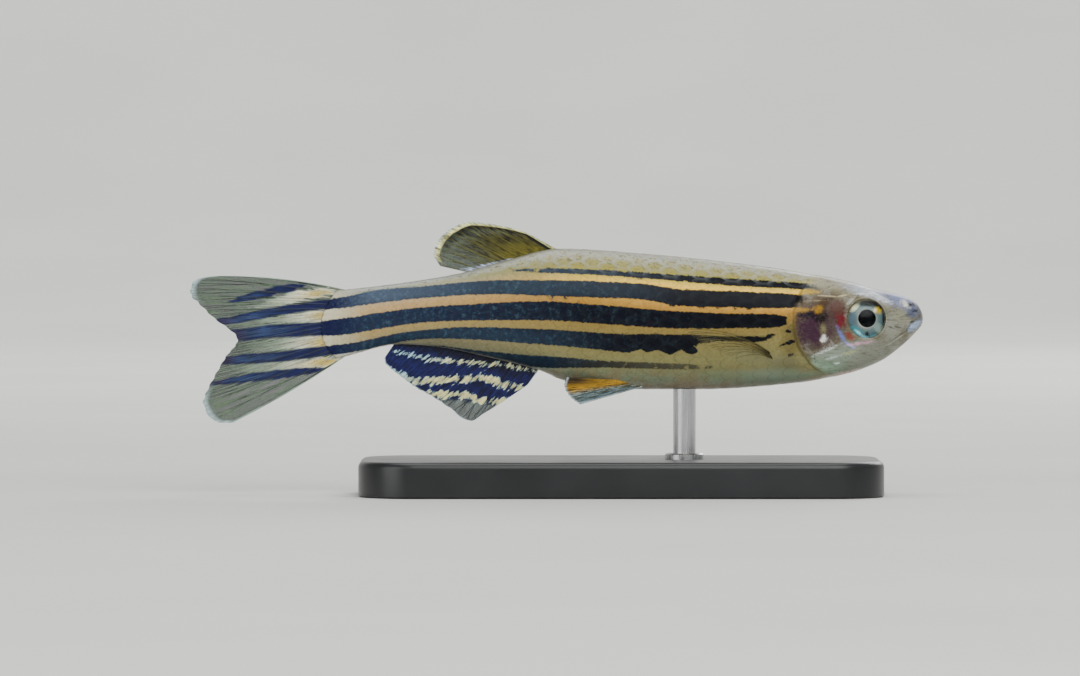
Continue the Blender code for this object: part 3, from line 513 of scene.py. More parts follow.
def add(tree, kind, inputs=None, out=0, stops=(), **settings):
    """Adds a node with its settings and links, and returns one of its outputs.

    An input is a plain value, a hex colour or the socket that feeds it. Stops are those of a colour ramp.
    """
    node = tree.nodes.new(kind)
    for key, value in settings.items():
        setattr(node, key, value)
    for key, value in (inputs or {}).items():
        socket = node.inputs[key]
        if isinstance(value, bpy.types.NodeSocket):
            tree.links.new(value, socket)
        else:
            socket.default_value = tint(value) if socket.type == "RGBA" else value
    for k, (position, colour) in enumerate(stops):
        stop = node.color_ramp.elements[k] if k < 2 else node.color_ramp.elements.new(position)
        stop.position = position
        stop.color = tint(colour)
    return node.outputs[out]


def blank_material(name):
    """A new material and its node tree, which holds nothing but the output."""
    material = bpy.data.materials.new(name)
    material.use_nodes = True
    tree = material.node_tree
    tree.nodes.remove(tree.nodes["Principled BSDF"])
    return material, tree


def show(tree, kind, inputs):
    """Gives a material the shader that it ends in."""
    tree.links.new(add(tree, kind, inputs), tree.nodes["Material Output"].inputs["Surface"])


def fish_place(tree):
    """The shaded point as (-d, y, h) in millimetres."""
    spot = add(tree, "ShaderNodeTexCoord", out="Object")
    where = {"Vector": spot, "Scale": (1 / MM,) * 3, "Location": (-LENGTH / 2, 0.0, -AXIS_HEIGHT)}
    return add(tree, "ShaderNodeMapping", where)


def with_marks(tree, colour, spot, marks, ragged):
    """Lays soft-edged spots over a colour: (d, h, half length, half height, turn, colour, strength) each."""
    for d, h, long, tall, turn, code, strength in marks:
        inner = add(tree, "ShaderNodeMapping", {
            "Vector": spot, "Location": (-d, 0.0, h), "Rotation": (0.0, math.radians(turn), 0.0),
            "Scale": (long, 100.0, tall),
        }, vector_type="TEXTURE")
        far = add(tree, "ShaderNodeVectorMath", {0: inner}, "Value", operation="LENGTH")
        far = add(tree, "ShaderNodeMath", {0: far, 1: ragged}, operation="ADD")
        inside = add(tree, "ShaderNodeMapRange", {
            "Value": far, "From Min": 1.40, "From Max": 0.30, "To Max": strength,
        }, interpolation_type="SMOOTHSTEP")
        parts = {SHARE: inside, FIRST: colour, SECOND: code}
        colour = add(tree, "ShaderNodeMix", parts, MIXED, data_type="RGBA")
    return colour


# Colours down the flank between the dark stripes, from the ridge of the back to the keel. The pale first
# stops are a painted highlight along the back's top edge; the near-white last stop behind is partly the
# belly's own silver and partly a painted highlight along the keel
FRONT_GROUND = (
    (0.00, "#c6c5b8"), (0.03, "#b0ae98"), (0.08, "#9c965f"), (0.16, "#a3983f"), (0.25, "#d2ab44"),
    (0.417, "#bb8d3f"), (0.583, "#927e45"), (0.72, "#8b8250"), (0.84, "#8f8c5e"), (0.93, "#95a184"),
    (1.00, "#c9bfae"),
)
REAR_GROUND = (
    (0.00, "#c8ccca"), (0.06, "#b2b7b2"), (0.14, "#a0a188"), (0.22, "#b4b6aa"), (0.417, "#cbaa78"),
    (0.583, "#b39c66"), (0.72, "#a0977a"), (0.80, "#a9aa92"), (0.90, "#b4bfba"), (1.00, "#eef4f2"),
)

# Colours that the tail's root shares with the tail fin
TAIL_BLUE = "#0f163f"
TAIL_CREAM = "#cdc8aa"

# Broad patches and small marks of the head: place, half sizes, turn, colour and strength
HEAD_PATCHES = (
    (6.4, -3.0, 2.6, 0.95, -14, "#8fab92", 0.9), (5.0, -1.9, 1.7, 0.55, -20, "#8d9a8c", 0.8),
    (3.3, -2.3, 2.2, 0.85, -28, "#868a7e", 0.85), (2.0, -0.3, 1.1, 1.1, 0, "#8f9184", 0.85),
    (7.5, 2.55, 1.6, 0.35, 12, "#b5b08e", 0.9), (5.4, 2.05, 1.6, 0.50, 14, "#98937a", 0.8),
    (6.2, 0.75, 1.9, 1.05, 0, "#4f3d2b", 0.97), (5.6, -0.2, 0.9, 1.3, 0, "#4a3838", 0.9),
    (7.9, -1.1, 0.8, 1.5, 0, "#4f4728", 0.9), (6.95, -0.6, 1.15, 1.35, -22, "#3a1b33", 0.97),
    (3.6, 1.82, 1.6, 0.36, 14, "#b3b9c2", 0.9), (1.5, 1.25, 1.3, 0.52, 20, "#7f88ad", 0.9),
)
# The near-white small marks #f4f8f2 and #f0fbf6 are painted glints of light
HEAD_MARKS_AND_GLINTS = (
    (4.50, 1.22, 0.42, 0.10, -42, "#c4c8b8", 0.8), (3.6, 1.62, 0.6, 0.10, 0, "#d5dade", 0.85),
    (2.6, 1.30, 0.75, 0.20, 18, "#d5dae2", 0.85), (7.0, 0.42, 0.75, 0.34, 0, "#170a22", 0.95),
    (6.3, 0.22, 0.42, 0.42, 0, "#0f080f", 0.9), (6.50, 0.69, 0.30, 0.26, 0, "#a97f26", 0.95),
    (7.30, 2.07, 0.75, 0.13, 4, "#24343e", 0.9), (7.2, 1.76, 0.8, 0.17, 3, "#c2a03c", 0.95),
    (7.65, 1.32, 0.40, 0.26, 0, "#0d0f14", 0.9), (7.6, 0.66, 0.65, 0.16, 0, "#ae8834", 0.9),
    (5.9, 1.50, 0.8, 0.05, 4, "#c4b88e", 0.75), (5.0, 1.52, 0.4, 0.05, -12, "#c9bf98", 0.75),
    (6.7, 1.22, 0.5, 0.05, 0, "#9c8c66", 0.6), (6.18, -0.55, 0.22, 0.36, 0, "#7d7753", 0.9),
    (6.17, -1.12, 0.20, 0.26, 24, "#f4f8f2", 0.95), (5.13, 0.05, 0.32, 0.55, 0, "#6f1824", 0.9),
    (5.35, 0.75, 0.5, 0.4, 0, "#57302a", 0.8), (4.55, -0.95, 0.36, 0.22, 40, "#87352f", 0.85),
    (5.05, -0.95, 0.65, 0.14, 62, "#6d77b8", 0.85), (4.55, -1.50, 0.35, 0.11, 30, "#a9abe0", 0.9),
    (3.9, -1.38, 0.75, 0.11, -9, "#dcaebf", 0.9), (4.6, -1.95, 0.5, 0.12, -12, "#b9bb86", 0.6),
    (7.5, -2.5, 0.75, 0.38, -18, "#4e5036", 0.85), (6.1, -1.85, 0.9, 0.09, -24, "#d3ded6", 0.7),
    (5.6, -2.25, 0.5, 0.08, -16, "#d3ded6", 0.6), (5.35, -2.62, 0.18, 0.07, -10, "#f0fbf6", 0.8),
    (0.70, 0.50, 0.55, 0.40, 0, "#5b6786", 0.85), (0.55, -0.32, 0.55, 0.26, -36, "#a2b5d6", 0.95),
    (1.15, 1.00, 0.36, 0.16, 34, "#eceadc", 0.9), (0.78, 0.98, 0.20, 0.12, 0, "#1d2230", 0.95),
    (0.55, 0.55, 0.20, 0.10, -20, "#2a3046", 0.85), (0.74, -0.08, 0.18, 0.08, 0, "#1d2130", 0.85),
    (1.5, 0.35, 0.5, 0.4, 0, "#9b9d84", 0.6), (2.05, -0.42, 0.24, 0.06, 24, "#3f3b2c", 0.75),
    (1.62, -0.40, 0.22, 0.06, 12, "#3f3b2c", 0.75), (2.2, 0.05, 0.5, 0.05, 4, "#57534a", 0.5),
    (5.8, -3.42, 3.0, 0.10, -12, "#d8b7ab", 0.8),
)
SHOULDER_MARKS = (
    (8.2, -1.3, 0.7, 1.5, 0, "#716538", 0.85), (8.6, -2.6, 1.2, 0.6, 0, "#777658", 0.7),
    (9.4, -3.5, 2.6, 0.60, 0, "#93a790", 0.7), (12.0, -3.3, 1.6, 0.30, 0, "#8f9c76", 0.5),
    (10.6, -2.2, 1.4, 0.5, 10, "#8b8a68", 0.5),
)

# Spots of the iris, placed as those of the head; the pale cyan #9fe6ee and #6fbccb are painted glints of
# light
IRIS_MARKS_AND_GLINTS = (
    (4.35, 0.10, 0.34, 0.50, 0, "#4f6470", 0.8), (4.22, 0.82, 0.40, 0.15, -44, "#cfd4ac", 0.9),
    (4.15, -0.62, 0.46, 0.24, 40, "#3f8f9e", 0.85), (4.05, -0.72, 0.30, 0.09, 38, "#9fe6ee", 0.9),
    (3.70, -0.98, 0.30, 0.10, 12, "#6fbccb", 0.8), (3.36, 1.04, 1.00, 0.21, 0, "#0b0907", 1.0),
    (2.74, 0.84, 0.42, 0.19, 42, "#0b0907", 1.0), (2.84, 0.62, 0.26, 0.17, 46, "#b89a14", 0.95),
    (3.02, 0.62, 0.12, 0.14, 20, "#efe9b8", 0.8), (2.46, 0.10, 0.13, 0.62, 0, "#14120f", 0.95),
    (3.52, -0.80, 0.14, 0.15, 0, "#10181c", 0.9), (3.15, -0.92, 0.34, 0.10, -14, "#4c8896", 0.7),
    (2.85, -0.45, 0.26, 0.34, -30, "#8fa79c", 0.7),
)

# Tints over the dark stripes: where one starts and is full down the flank, likewise along the body (-d), its
# colour and its strength, then the lights in them and the plain colours of the face
STRIPE_TINTS = (
    (0.42, 0.36, -15.0, -24.0, "#3b4a56", 0.85), (0.40, 0.35, -26.0, -33.0, "#66768c", 0.75),
    (0.60, 0.66, -19.0, -26.0, "#34485a", 0.70), (0.76, 0.80, -23.0, -15.0, "#625f48", 0.80),
)
STRIPE_LIGHTS = ((0.36, "#2c2140"), (0.46, "#0e1524"), (0.56, "#2a3a50"), (0.66, "#4c6872"))
FACE = ((0.36, "#5d563f"), (0.50, "#837e68"), (0.64, "#98958a"))

# Share of mirror cells down the flank between the dark stripes
MIRROR = ((0.10, (0.10,) * 3), (0.24, (0.50,) * 3), (0.60, (0.42,) * 3), (0.80, (0.20,) * 3))


def bright_ground(tree, spot, tier, cells, clouds, rear, upper):
    """Colours between the dark stripes, dusted with dark cells over the back and blotched on the belly."""
    level = add(tree, "ShaderNodeMath", {0: cells, 1: 0.035, 2: tier}, operation="MULTIPLY_ADD")
    # The pale ends of the ramps paint a highlight along the ridge and, behind, partly along the keel
    front = add(tree, "ShaderNodeValToRGB", {"Fac": level}, stops=FRONT_GROUND)
    behind = add(tree, "ShaderNodeValToRGB", {"Fac": level}, stops=REAR_GROUND)
    ground = add(tree, "ShaderNodeMix", {SHARE: rear, FIRST: front, SECOND: behind}, MIXED, data_type="RGBA")
    mottle = add(tree, "ShaderNodeMath", {0: cells, 1: 0.7, 2: 1.0}, operation="MULTIPLY_ADD")
    ground = add(tree, "ShaderNodeVectorMath", {0: ground, 1: mottle}, operation="MULTIPLY")
    dust = add(tree, "ShaderNodeMapRange", {"Value": cells, "From Max": 0.14, "To Max": 0.75})
    dust = add(tree, "ShaderNodeMath", {0: dust, 1: upper}, operation="MULTIPLY")
    belly = add(tree, "ShaderNodeMapRange", {"Value": tier, "From Min": 0.80, "From Max": 0.93})
    blotch = {"Value": clouds, "From Min": 0.42, "From Max": 0.62, "To Max": 0.4}
    blotch = add(tree, "ShaderNodeMapRange", blotch)
    blotch = add(tree, "ShaderNodeMath", {0: blotch, 1: belly}, operation="MULTIPLY")
    for share, code in ((dust, "#54502a"), (blotch, "#a8855c")):
        parts = {SHARE: share, FIRST: ground, SECOND: code}
        ground = add(tree, "ShaderNodeMix", parts, MIXED, data_type="RGBA")
    return with_marks(tree, ground, spot, SHOULDER_MARKS, cells)


def dark_stripes(tree, spot, tier, forward, rear, look):
    """Colours of the dark stripes: almost black in front, slate blue with green and purple lights behind."""
    parts = {SHARE: rear, FIRST: look.dark_front, SECOND: look.dark_rear}
    slate = add(tree, "ShaderNodeMix", parts, MIXED, data_type="RGBA")
    for tier_from, tier_to, ahead, behind, code, most in STRIPE_TINTS:
        across = {"Value": tier, "From Min": tier_from, "From Max": tier_to, "To Max": most}
        across = add(tree, "ShaderNodeMapRange", across)
        reach = add(tree, "ShaderNodeMapRange", {"Value": forward, "From Min": ahead, "From Max": behind})
        share = add(tree, "ShaderNodeMath", {0: across, 1: reach}, operation="MULTIPLY")
        parts = {SHARE: share, FIRST: slate, SECOND: code}
        slate = add(tree, "ShaderNodeMix", parts, MIXED, data_type="RGBA")
    lights = {"Vector": spot, "Scale": 3.4, "Detail": 5.0, "Roughness": 0.75}
    lights = add(tree, "ShaderNodeTexNoise", lights)
    lights = add(tree, "ShaderNodeValToRGB", {"Fac": lights}, stops=STRIPE_LIGHTS)
    shimmer = add(tree, "ShaderNodeMapRange", {
        "Value": forward, "From Min": -12.0, "From Max": -26.0, "To Min": 0.03, "To Max": 0.42,
    })
    return add(tree, "ShaderNodeMix", {SHARE: shimmer, FIRST: slate, SECOND: lights}, MIXED, data_type="RGBA")


def with_rims(tree, flank, upper):
    """Each scale paler along its rear rim over the back, and a thin darker line on every rim."""
    plate = add(tree, "ShaderNodeAttribute", out="Vector", attribute_name="plate")
    rim = add(tree, "ShaderNodeVectorMath", {0: plate, 1: (1.0, 1.0, 0.0)}, operation="MULTIPLY")
    rim = add(tree, "ShaderNodeVectorMath", {0: rim}, "Value", operation="LENGTH")
    line = add(tree, "ShaderNodeMapRange", {
        "Value": rim, "From Min": 0.84, "From Max": 0.98, "To Min": 1.0, "To Max": 0.80,
    }, interpolation_type="SMOOTHSTEP")
    flank = add(tree, "ShaderNodeVectorMath", {0: flank, 1: line}, operation="MULTIPLY")
    pale = {"Value": rim, "From Min": 0.42, "From Max": 0.95}
    pale = add(tree, "ShaderNodeMapRange", pale, interpolation_type="SMOOTHSTEP")
    over_back = add(tree, "ShaderNodeMapRange", {"Value": upper, "To Min": 0.01, "To Max": 0.38})
    pale = add(tree, "ShaderNodeMath", {0: pale, 1: over_back}, operation="MULTIPLY")
    return add(tree, "ShaderNodeMix", {SHARE: pale, FIRST: flank, SECOND: "#b9bfbc"}, MIXED, data_type="RGBA")


def face_colours(tree, spot, cells, clouds, forward):
    """Head colours: grey-olive flesh under thin skin, with spots, painted glints, wrinkles and dark cells."""
    face = add(tree, "ShaderNodeValToRGB", {"Fac": clouds}, stops=FACE)
    face = with_marks(tree, face, spot, HEAD_PATCHES, cells)
    ragged = add(tree, "ShaderNodeMath", {0: cells, 1: 2.0}, operation="MULTIPLY")
    # Small marks of the head, two of them painted glints of light
    face = with_marks(tree, face, spot, HEAD_MARKS_AND_GLINTS, ragged)
    wrinkles = {"Vector": spot, "Rotation": (0.0, 0.3, 0.0), "Scale": (1.6, 1.0, 7.0)}
    wrinkles = add(tree, "ShaderNodeMapping", wrinkles)
    wrinkles = add(tree, "ShaderNodeTexNoise", {"Vector": wrinkles, "Scale": 1.6, "Detail": 4.0})
    freckles = add(tree, "ShaderNodeTexVoronoi", {"Vector": spot, "Scale": 5.0})
    wrinkles, freckles, cloudy, behind = [add(tree, "ShaderNodeMapRange", {
        "Value": value, "From Min": low, "From Max": high, "To Min": to_low, "To Max": to_high,
    }) for value, low, high, to_low, to_high in (
        (wrinkles, 0.50, 0.66, 0.0, 0.42), (freckles, 0.30, 0.12, 0.0, 0.65), (clouds, 0.40, 0.58, 0.0, 1.0),
        (forward, -4.2, -5.4, 0.5, 1.3),
    )]
    for more in (cloudy, behind):
        freckles = add(tree, "ShaderNodeMath", {0: freckles, 1: more}, operation="MULTIPLY")
    for share, code in ((wrinkles, "#4f4a3c"), (freckles, "#2a1f1e")):
        parts = {SHARE: share, FIRST: face, SECOND: code}
        face = add(tree, "ShaderNodeMix", parts, MIXED, data_type="RGBA")
    return face


def hide_material(name, look, on_scales):
    """Wet fish skin: pigment under a clear slime coat, gold and blue-black stripes with ragged edges.

    The bright stripes lie over mirror cells, so they answer light as a soft metal; the rest is a plain wet
    skin.
    """
    material, tree = blank_material(name)
    spot = fish_place(tree)
    places = add(tree, "ShaderNodeSeparateXYZ", {0: spot}).node.outputs
    forward, high = places["X"], places["Z"]
    stripe, tier, head, aside = [
        add(tree, "ShaderNodeAttribute", out="Fac", attribute_name=key)
        for key in ("stripe", "tier", "head", "aside")
    ]

    # Pigment cells 0.1 to 0.2 mm across make the edges of all markings ragged
    cells = add(tree, "ShaderNodeTexNoise", {"Vector": spot, "Scale": 5.5, "Detail": 3.0, "Roughness": 0.6})
    cells = add(tree, "ShaderNodeMath", {0: cells, 1: 0.5}, operation="SUBTRACT")
    clouds = add(tree, "ShaderNodeTexNoise", {"Vector": spot, "Scale": 1.3})
    rear = add(tree, "ShaderNodeMapRange", {"Value": forward, "From Min": -21.0, "From Max": -33.0})
    upper = {"Value": tier, "From Min": 0.20, "From Max": 0.07}
    upper = add(tree, "ShaderNodeMapRange", upper, interpolation_type="SMOOTHSTEP")
    edge = add(tree, "ShaderNodeMath", {0: cells, 1: 0.24, 2: stripe}, operation="MULTIPLY_ADD")
    dark = {"Value": edge, "From Min": -0.07, "From Max": 0.01}
    dark = add(tree, "ShaderNodeMapRange", dark, interpolation_type="SMOOTHSTEP")
    ground = bright_ground(tree, spot, tier, cells, clouds, rear, upper)
    slate = dark_stripes(tree, spot, tier, forward, rear, look)

    # At the tail's root the body's colours turn into those of the fin
    root = add(tree, "ShaderNodeMath", {0: cells, 1: 3.0, 2: forward}, operation="MULTIPLY_ADD")
    root = add(tree, "ShaderNodeMapRange", {"Value": root, "From Min": -34.0, "From Max": -36.2})
    ground, slate = [
        add(tree, "ShaderNodeMix", {SHARE: root, FIRST: first, SECOND: code}, MIXED, data_type="RGBA")
        for first, code in ((ground, TAIL_CREAM), (slate, TAIL_BLUE))
    ]
    colour = add(tree, "ShaderNodeMix", {SHARE: dark, FIRST: ground, SECOND: slate}, MIXED, data_type="RGBA")
    if on_scales:
        colour = with_rims(tree, colour, upper)

    # Along the ridge, from the upper lip to the tail, the back is dusky olive, and the keel is pale
    ridge = add(tree, "ShaderNodeMath", {0: cells, 1: 0.4, 2: aside}, operation="MULTIPLY_ADD")
    ridge = {"Value": ridge, "From Min": 0.36, "From Max": 0.12, "To Max": 0.75}
    ridge = add(tree, "ShaderNodeMapRange", ridge, interpolation_type="SMOOTHSTEP")
    above = add(tree, "ShaderNodeMapRange", {"Value": high, "From Min": -0.9, "From Max": -0.2})
    olive = {SHARE: above, FIRST: "#a8a394", SECOND: "#6d684c"}
    olive = add(tree, "ShaderNodeMix", olive, MIXED, data_type="RGBA")
    for share, over in ((head, face_colours(tree, spot, cells, clouds, forward)), (ridge, olive)):
        parts = {SHARE: share, FIRST: colour, SECOND: over}
        colour = add(tree, "ShaderNodeMix", parts, MIXED, data_type="RGBA")

    # Mirror cells: strong in the gold stripes, weak on the belly, hardly any in the black and on the head
    mirror = add(tree, "ShaderNodeValToRGB", {"Fac": tier}, stops=MIRROR)
    plain = add(tree, "ShaderNodeMath", {0: dark, 1: head}, operation="MAXIMUM")
    mirror = {SHARE: plain, FIRST: mirror, SECOND: (0.03,) * 3}
    mirror = add(tree, "ShaderNodeMix", mirror, MIXED, data_type="RGBA")
    grain = add(tree, "ShaderNodeTexNoise", {"Vector": spot, "Scale": 9.0})
    relief = add(tree, "ShaderNodeBump", {"Height": grain, "Strength": 0.12, "Distance": 0.03 * MM})
    dull = add(tree, "ShaderNodeMapRange", {"Value": grain, "To Min": 0.26, "To Max": 0.44})
    slime = add(tree, "ShaderNodeMapRange", {"Value": dark, "To Min": 0.20, "To Max": 0.02})
    show(tree, "ShaderNodeBsdfPrincipled", {
        "Base Color": colour, "Metallic": mirror, "Roughness": dull, "Normal": relief, "IOR": 1.36,
        "Specular IOR Level": 0.18, "Coat Weight": slime, "Coat Roughness": 0.16, "Coat IOR": 1.34,
        "Subsurface Weight": 0.06, "Subsurface Radius": (0.6, 0.45, 0.3), "Subsurface Scale": 0.4 * MM,
    })
    return material


def skin_rings(look):
    """Distances behind the snout of the skin's rings, closest on the steep snout and on the head."""
    fine = np.geomspace(SKIN_START, SKIN_END, 6000)
    head_step, body_step = look.head_step / MM, look.body_step / MM
    spacing = np.interp(fine, (0.0, 7.0, 11.0), (head_step, 1.2 * head_step, body_step))
    rise = [np.diff(curve(table, fine)) for table in (BACK, BELLY, HALF_WIDTH)]
    steps = np.sqrt(np.diff(fine) ** 2 + np.max(np.abs(rise), axis=0) ** 2)
    count = np.concatenate([[0.0], np.cumsum(steps / spacing[1:])])
    return np.interp(np.linspace(0.0, count[-1], int(count[-1])), count, fine)


def skin_relief(d, h, side, coat_depth):
    """Swelling of the skin off the plain body: gill cover, throat edge, mouth, lips and nostrils."""
    ring = gill_ring(d, h)
    behind = soft_step(GILL_CENTRE[0], GILL_CENTRE[0] + 1.0, d) * (1 - soft_step(1.6, 2.3, h))
    plate = soft_step(0.46, 0.66, ring) * (1 - soft_step(0.995, 1.03, ring))
    swell = behind * side * (GILL_RAISE * plate - fold(ring, GILL_GROOVE) - fold(ring, CHEEK_GROOVE))
    swell = swell - fold(gap_to_line(d, h, THROAT_EDGE), THROAT_GROOVE) * soft_step(5.0, 6.2, d)
    corner = 1 - 0.6 * soft_step(0.55, 1.05, d)
    mouth = gap_to_line(d, h, MOUTH_LINE)
    swell = swell - fold(mouth, MOUTH_GROOVE) + corner * fold(mouth, LIPS)
    for spot_d, spot_h, radius in NOSTRILS:
        far = np.hypot(d - spot_d, h - spot_h)
        swell = swell + side * (0.05 * hump(far - 1.25 * radius, 0.05) - 0.16 * hump(far, 0.6 * radius))
    return swell * soft_step(SKIN_START, 0.22, d) - coat_depth * soft_step(0.97, 1.10, ring)


def eye_place(sign):
    """Position and turn of an eye, whose own +Z looks out of the head."""
    d, h = EYE_CENTRE
    middle = Vector(place(d, sign * (flank_width(d, h) - EYE_INSET), h))
    outward = Vector((
        math.sin(EYE_YAW), sign * math.cos(EYE_YAW) * math.cos(EYE_PITCH), math.sin(EYE_PITCH),
    )).normalized()
    return Matrix.Translation(middle) @ outward.to_track_quat("Z", "Y").to_matrix().to_4x4()


def sink_orbits(points):
    """Flattens the skin to the rim of each eye and hollows it under the ball, with a thin fold round it."""
    flat = points.reshape(-1, 3)
    for sign in (-1, 1):
        where = np.array(eye_place(sign))
        local = (flat - where[:3, 3]) @ where[:3, :3] / MM
        r = np.hypot(local[:, 0], local[:, 1])
        near = (r < ORBIT_RADIUS) & (local[:, 2] > -EYE_RADIUS)
        z = local[:, 2] + (ORBIT_LEVEL - local[:, 2]) * (1 - soft_step(ORBIT_FLAT, ORBIT_RADIUS, r))
        z = z + fold(r, ORBIT_RIM) - fold(r, ORBIT_GROOVE)
        z = z - ORBIT_DEPTH * (1 - soft_step(1.05, 1.20, r))
        local[near, 2] = z[near]
        flat[near] = local[near] @ where[:3, :3].T * MM + where[:3, 3]
    return flat.reshape(points.shape)


def body_surface(d, angle, lift):
    """Points in metres over the body at arrays of d and angle, lifted off it by lift millimetres."""
    step = 1e-3
    spot = place(d, *section(d, angle))
    ahead = place(d + step, *section(d + step, angle)) - spot
    round_it = place(d, *section(d, angle + step)) - spot
    out = np.cross(ahead, round_it)
    out /= np.linalg.norm(out, axis=-1, keepdims=True) + 1e-30
    return spot - out * np.asarray(lift)[..., None] * MM


def girth_angles():
    """Table of angles by ring and by share of the way from back to keel, and the rings' distances."""
    rings = np.linspace(0.0, SKIN_END, 260)
    angles = np.linspace(0.0, math.pi, 500)
    shares = np.linspace(0.0, 1.0, 81)
    table = []
    for d in rings:
        y, h = section(np.full(angles.shape, d), angles)
        way = np.concatenate([[0.0], np.cumsum(np.hypot(np.diff(y), np.diff(h)))])
        table.append(np.interp(shares, way / way[-1], angles))
    return rings, np.array(table)


def angle_at(d, turn, rings, table):
    """Angle of the section at a share of the girth: 0 on the back, 1 on the keel by the left side."""
    side = np.where(np.abs(turn) > 1, -np.sign(turn), np.sign(turn))
    share = np.where(np.abs(turn) > 1, 2 - np.abs(turn), np.abs(turn)) * (table.shape[1] - 1)
    at = np.clip(np.interp(d, rings, np.arange(len(rings))), 0, len(rings) - 1.001)
    i, k = at.astype(int), np.clip(share, 0, table.shape[1] - 1.001).astype(int)
    u, v = at - i, share - k
    low = table[i, k] * (1 - v) + table[i, k + 1] * v
    high = table[i + 1, k] * (1 - v) + table[i + 1, k + 1] * v
    return side * (low * (1 - u) + high * u)


def new_tree(name, source, sizes, kind, result):
    """A new Geometry Nodes tree that takes a geometry and sizes and gives a geometry."""
    tree = bpy.data.node_groups.new(name, "GeometryNodeTree")
    tree.interface.new_socket(source, in_out="INPUT", socket_type="NodeSocketGeometry")
    for size in sizes:
        tree.interface.new_socket(size, in_out="INPUT", socket_type="NodeSocket" + kind)
    tree.interface.new_socket(result, in_out="OUTPUT", socket_type="NodeSocketGeometry")
    return tree, tree.nodes.new("NodeGroupInput").outputs


def end_tree(tree, geometry, material):
    """Makes all instances real, gives them their material and hands them out."""
    real = add(tree, "GeometryNodeRealizeInstances", {"Geometry": geometry})
    done = add(tree, "GeometryNodeSetMaterial", {"Geometry": real, "Material": material})
    tree.links.new(done, tree.nodes.new("NodeGroupOutput").inputs[0])
    return tree


def scale_tree(material):
    """One thin lens-shaped scale set on every root point, each a little turned, and all made real."""
    sizes = ("Length", "Width", "Thickness", "Rise", "Wobble")
    tree, given = new_tree("Scale rows", "Roots", sizes, "Float", "Scales")
    ball = add(tree, "GeometryNodeMeshUVSphere", {"Segments": 16, "Rings": 4, "Radius": 1.0})
    spot = add(tree, "GeometryNodeInputPosition")
    ball = add(tree, "GeometryNodeStoreNamedAttribute", {
        "Geometry": ball, "Name": "plate", "Value": spot,
    }, data_type="FLOAT_VECTOR", domain="POINT")
    places = add(tree, "ShaderNodeSeparateXYZ", {0: spot}).node.outputs
    long, wide, thick = [
        add(tree, "ShaderNodeMath", {0: places[axis], 1: given[size]}, operation="MULTIPLY")
        for axis, size in (("X", "Length"), ("Y", "Width"), ("Z", "Thickness"))
    ]
    thick = {0: places["X"], 1: given["Rise"], 2: thick}
    thick = add(tree, "ShaderNodeMath", thick, operation="MULTIPLY_ADD")
    shape = add(tree, "ShaderNodeCombineXYZ", {"X": long, "Y": wide, "Z": thick})
    scale = add(tree, "GeometryNodeSetPosition", {"Geometry": ball, "Position": shape})
    back = add(tree, "ShaderNodeMath", {0: given["Wobble"], 1: -1.0}, operation="MULTIPLY")
    turn = {2: back, 3: given["Wobble"], "Seed": 7}
    turn = add(tree, "FunctionNodeRandomValue", turn, 1, data_type="FLOAT")
    turn = add(tree, "ShaderNodeCombineXYZ", {"Z": turn})
    size = add(tree, "FunctionNodeRandomValue", {2: 0.95, 3: 1.05, "Seed": 11}, 1, data_type="FLOAT")
    rows = add(tree, "GeometryNodeInstanceOnPoints", {
        "Points": given["Roots"], "Instance": scale, "Rotation": turn, "Scale": size,
    })
    return end_tree(tree, rows, material)


def scale_columns(look):
    """(column number, d) pairs along the body, the columns closer together towards the tail."""
    d = np.linspace(5.0, SKIN_END, 800)
    spacing = np.interp(d, (5.0, 18.0, SKIN_END), (look.longest / MM, look.longest / MM, look.shortest / MM))
    column = np.concatenate([[0.0], np.cumsum(np.diff(d) / spacing[1:])])
    return column, d


def scale_roots(columns, rows):
    """Places of the scales as (column, row), those of every second column half a row lower."""
    return np.array([(i, k + 0.5 * (i % 2)) for i in range(columns) for k in range(-rows, rows)])


def thread_tree(material):
    """A round thread swept along edges, of the radius kept as thick at each point, and closed at its ends."""
    tree, given = new_tree("Threads", "Lines", ("Sides",), "Int", "Threads")
    lines = add(tree, "GeometryNodeMeshToCurve", {"Mesh": given["Lines"]})
    thick = {"Name": "thick"}
    thick = add(tree, "GeometryNodeInputNamedAttribute", thick, "Attribute", data_type="FLOAT")
    ring = add(tree, "GeometryNodeCurvePrimitiveCircle", {"Resolution": given["Sides"], "Radius": 1.0})
    swept = add(tree, "GeometryNodeCurveToMesh", {
        "Curve": lines, "Profile Curve": ring, "Scale": thick, "Fill Caps": True,
    })
    return end_tree(tree, swept, material)


# A fin: name, CAD node, number of rays, root, tips of the rays (reach, height and spread by their share
# across the fin), bow of its sheet, where its rays fork, how thick they are, how late they spread and how
# fleshy its root is
Fin = namedtuple("Fin", "name node rays root reach height spread bow forks slender curl fleshy")


def middle_root(ends, outline, sink):
    """Root of a fin on the middle plane, along the ridge of the back or the keel."""
    def root(share):
        d = ends[0] + (ends[1] - ends[0]) * share
        return np.stack([d, 0 * d, curve(outline, d) + sink], axis=-1)
    return root


def tail_root(share):
    """Root of the tail fin, upright across the end of the body."""
    d = np.full(np.shape(share), TAIL_FIN_START)
    top, low = curve(BACK, d) - 0.02, curve(BELLY, d) + 0.02
    return np.stack([d, 0 * d, top + (low - top) * share], axis=-1)


def paired_root(ends, sign):
    """Root of a paired fin, a line on the flank from its first ray to its last."""
    def root(share):
        d = ends[0][0] + (ends[1][0] - ends[0][0]) * share
        h = ends[0][1] + (ends[1][1] - ends[0][1]) * share
        return np.stack([d, sign * (flank_width(d, h) - PAIRED_SINK), h], axis=-1)
    return root


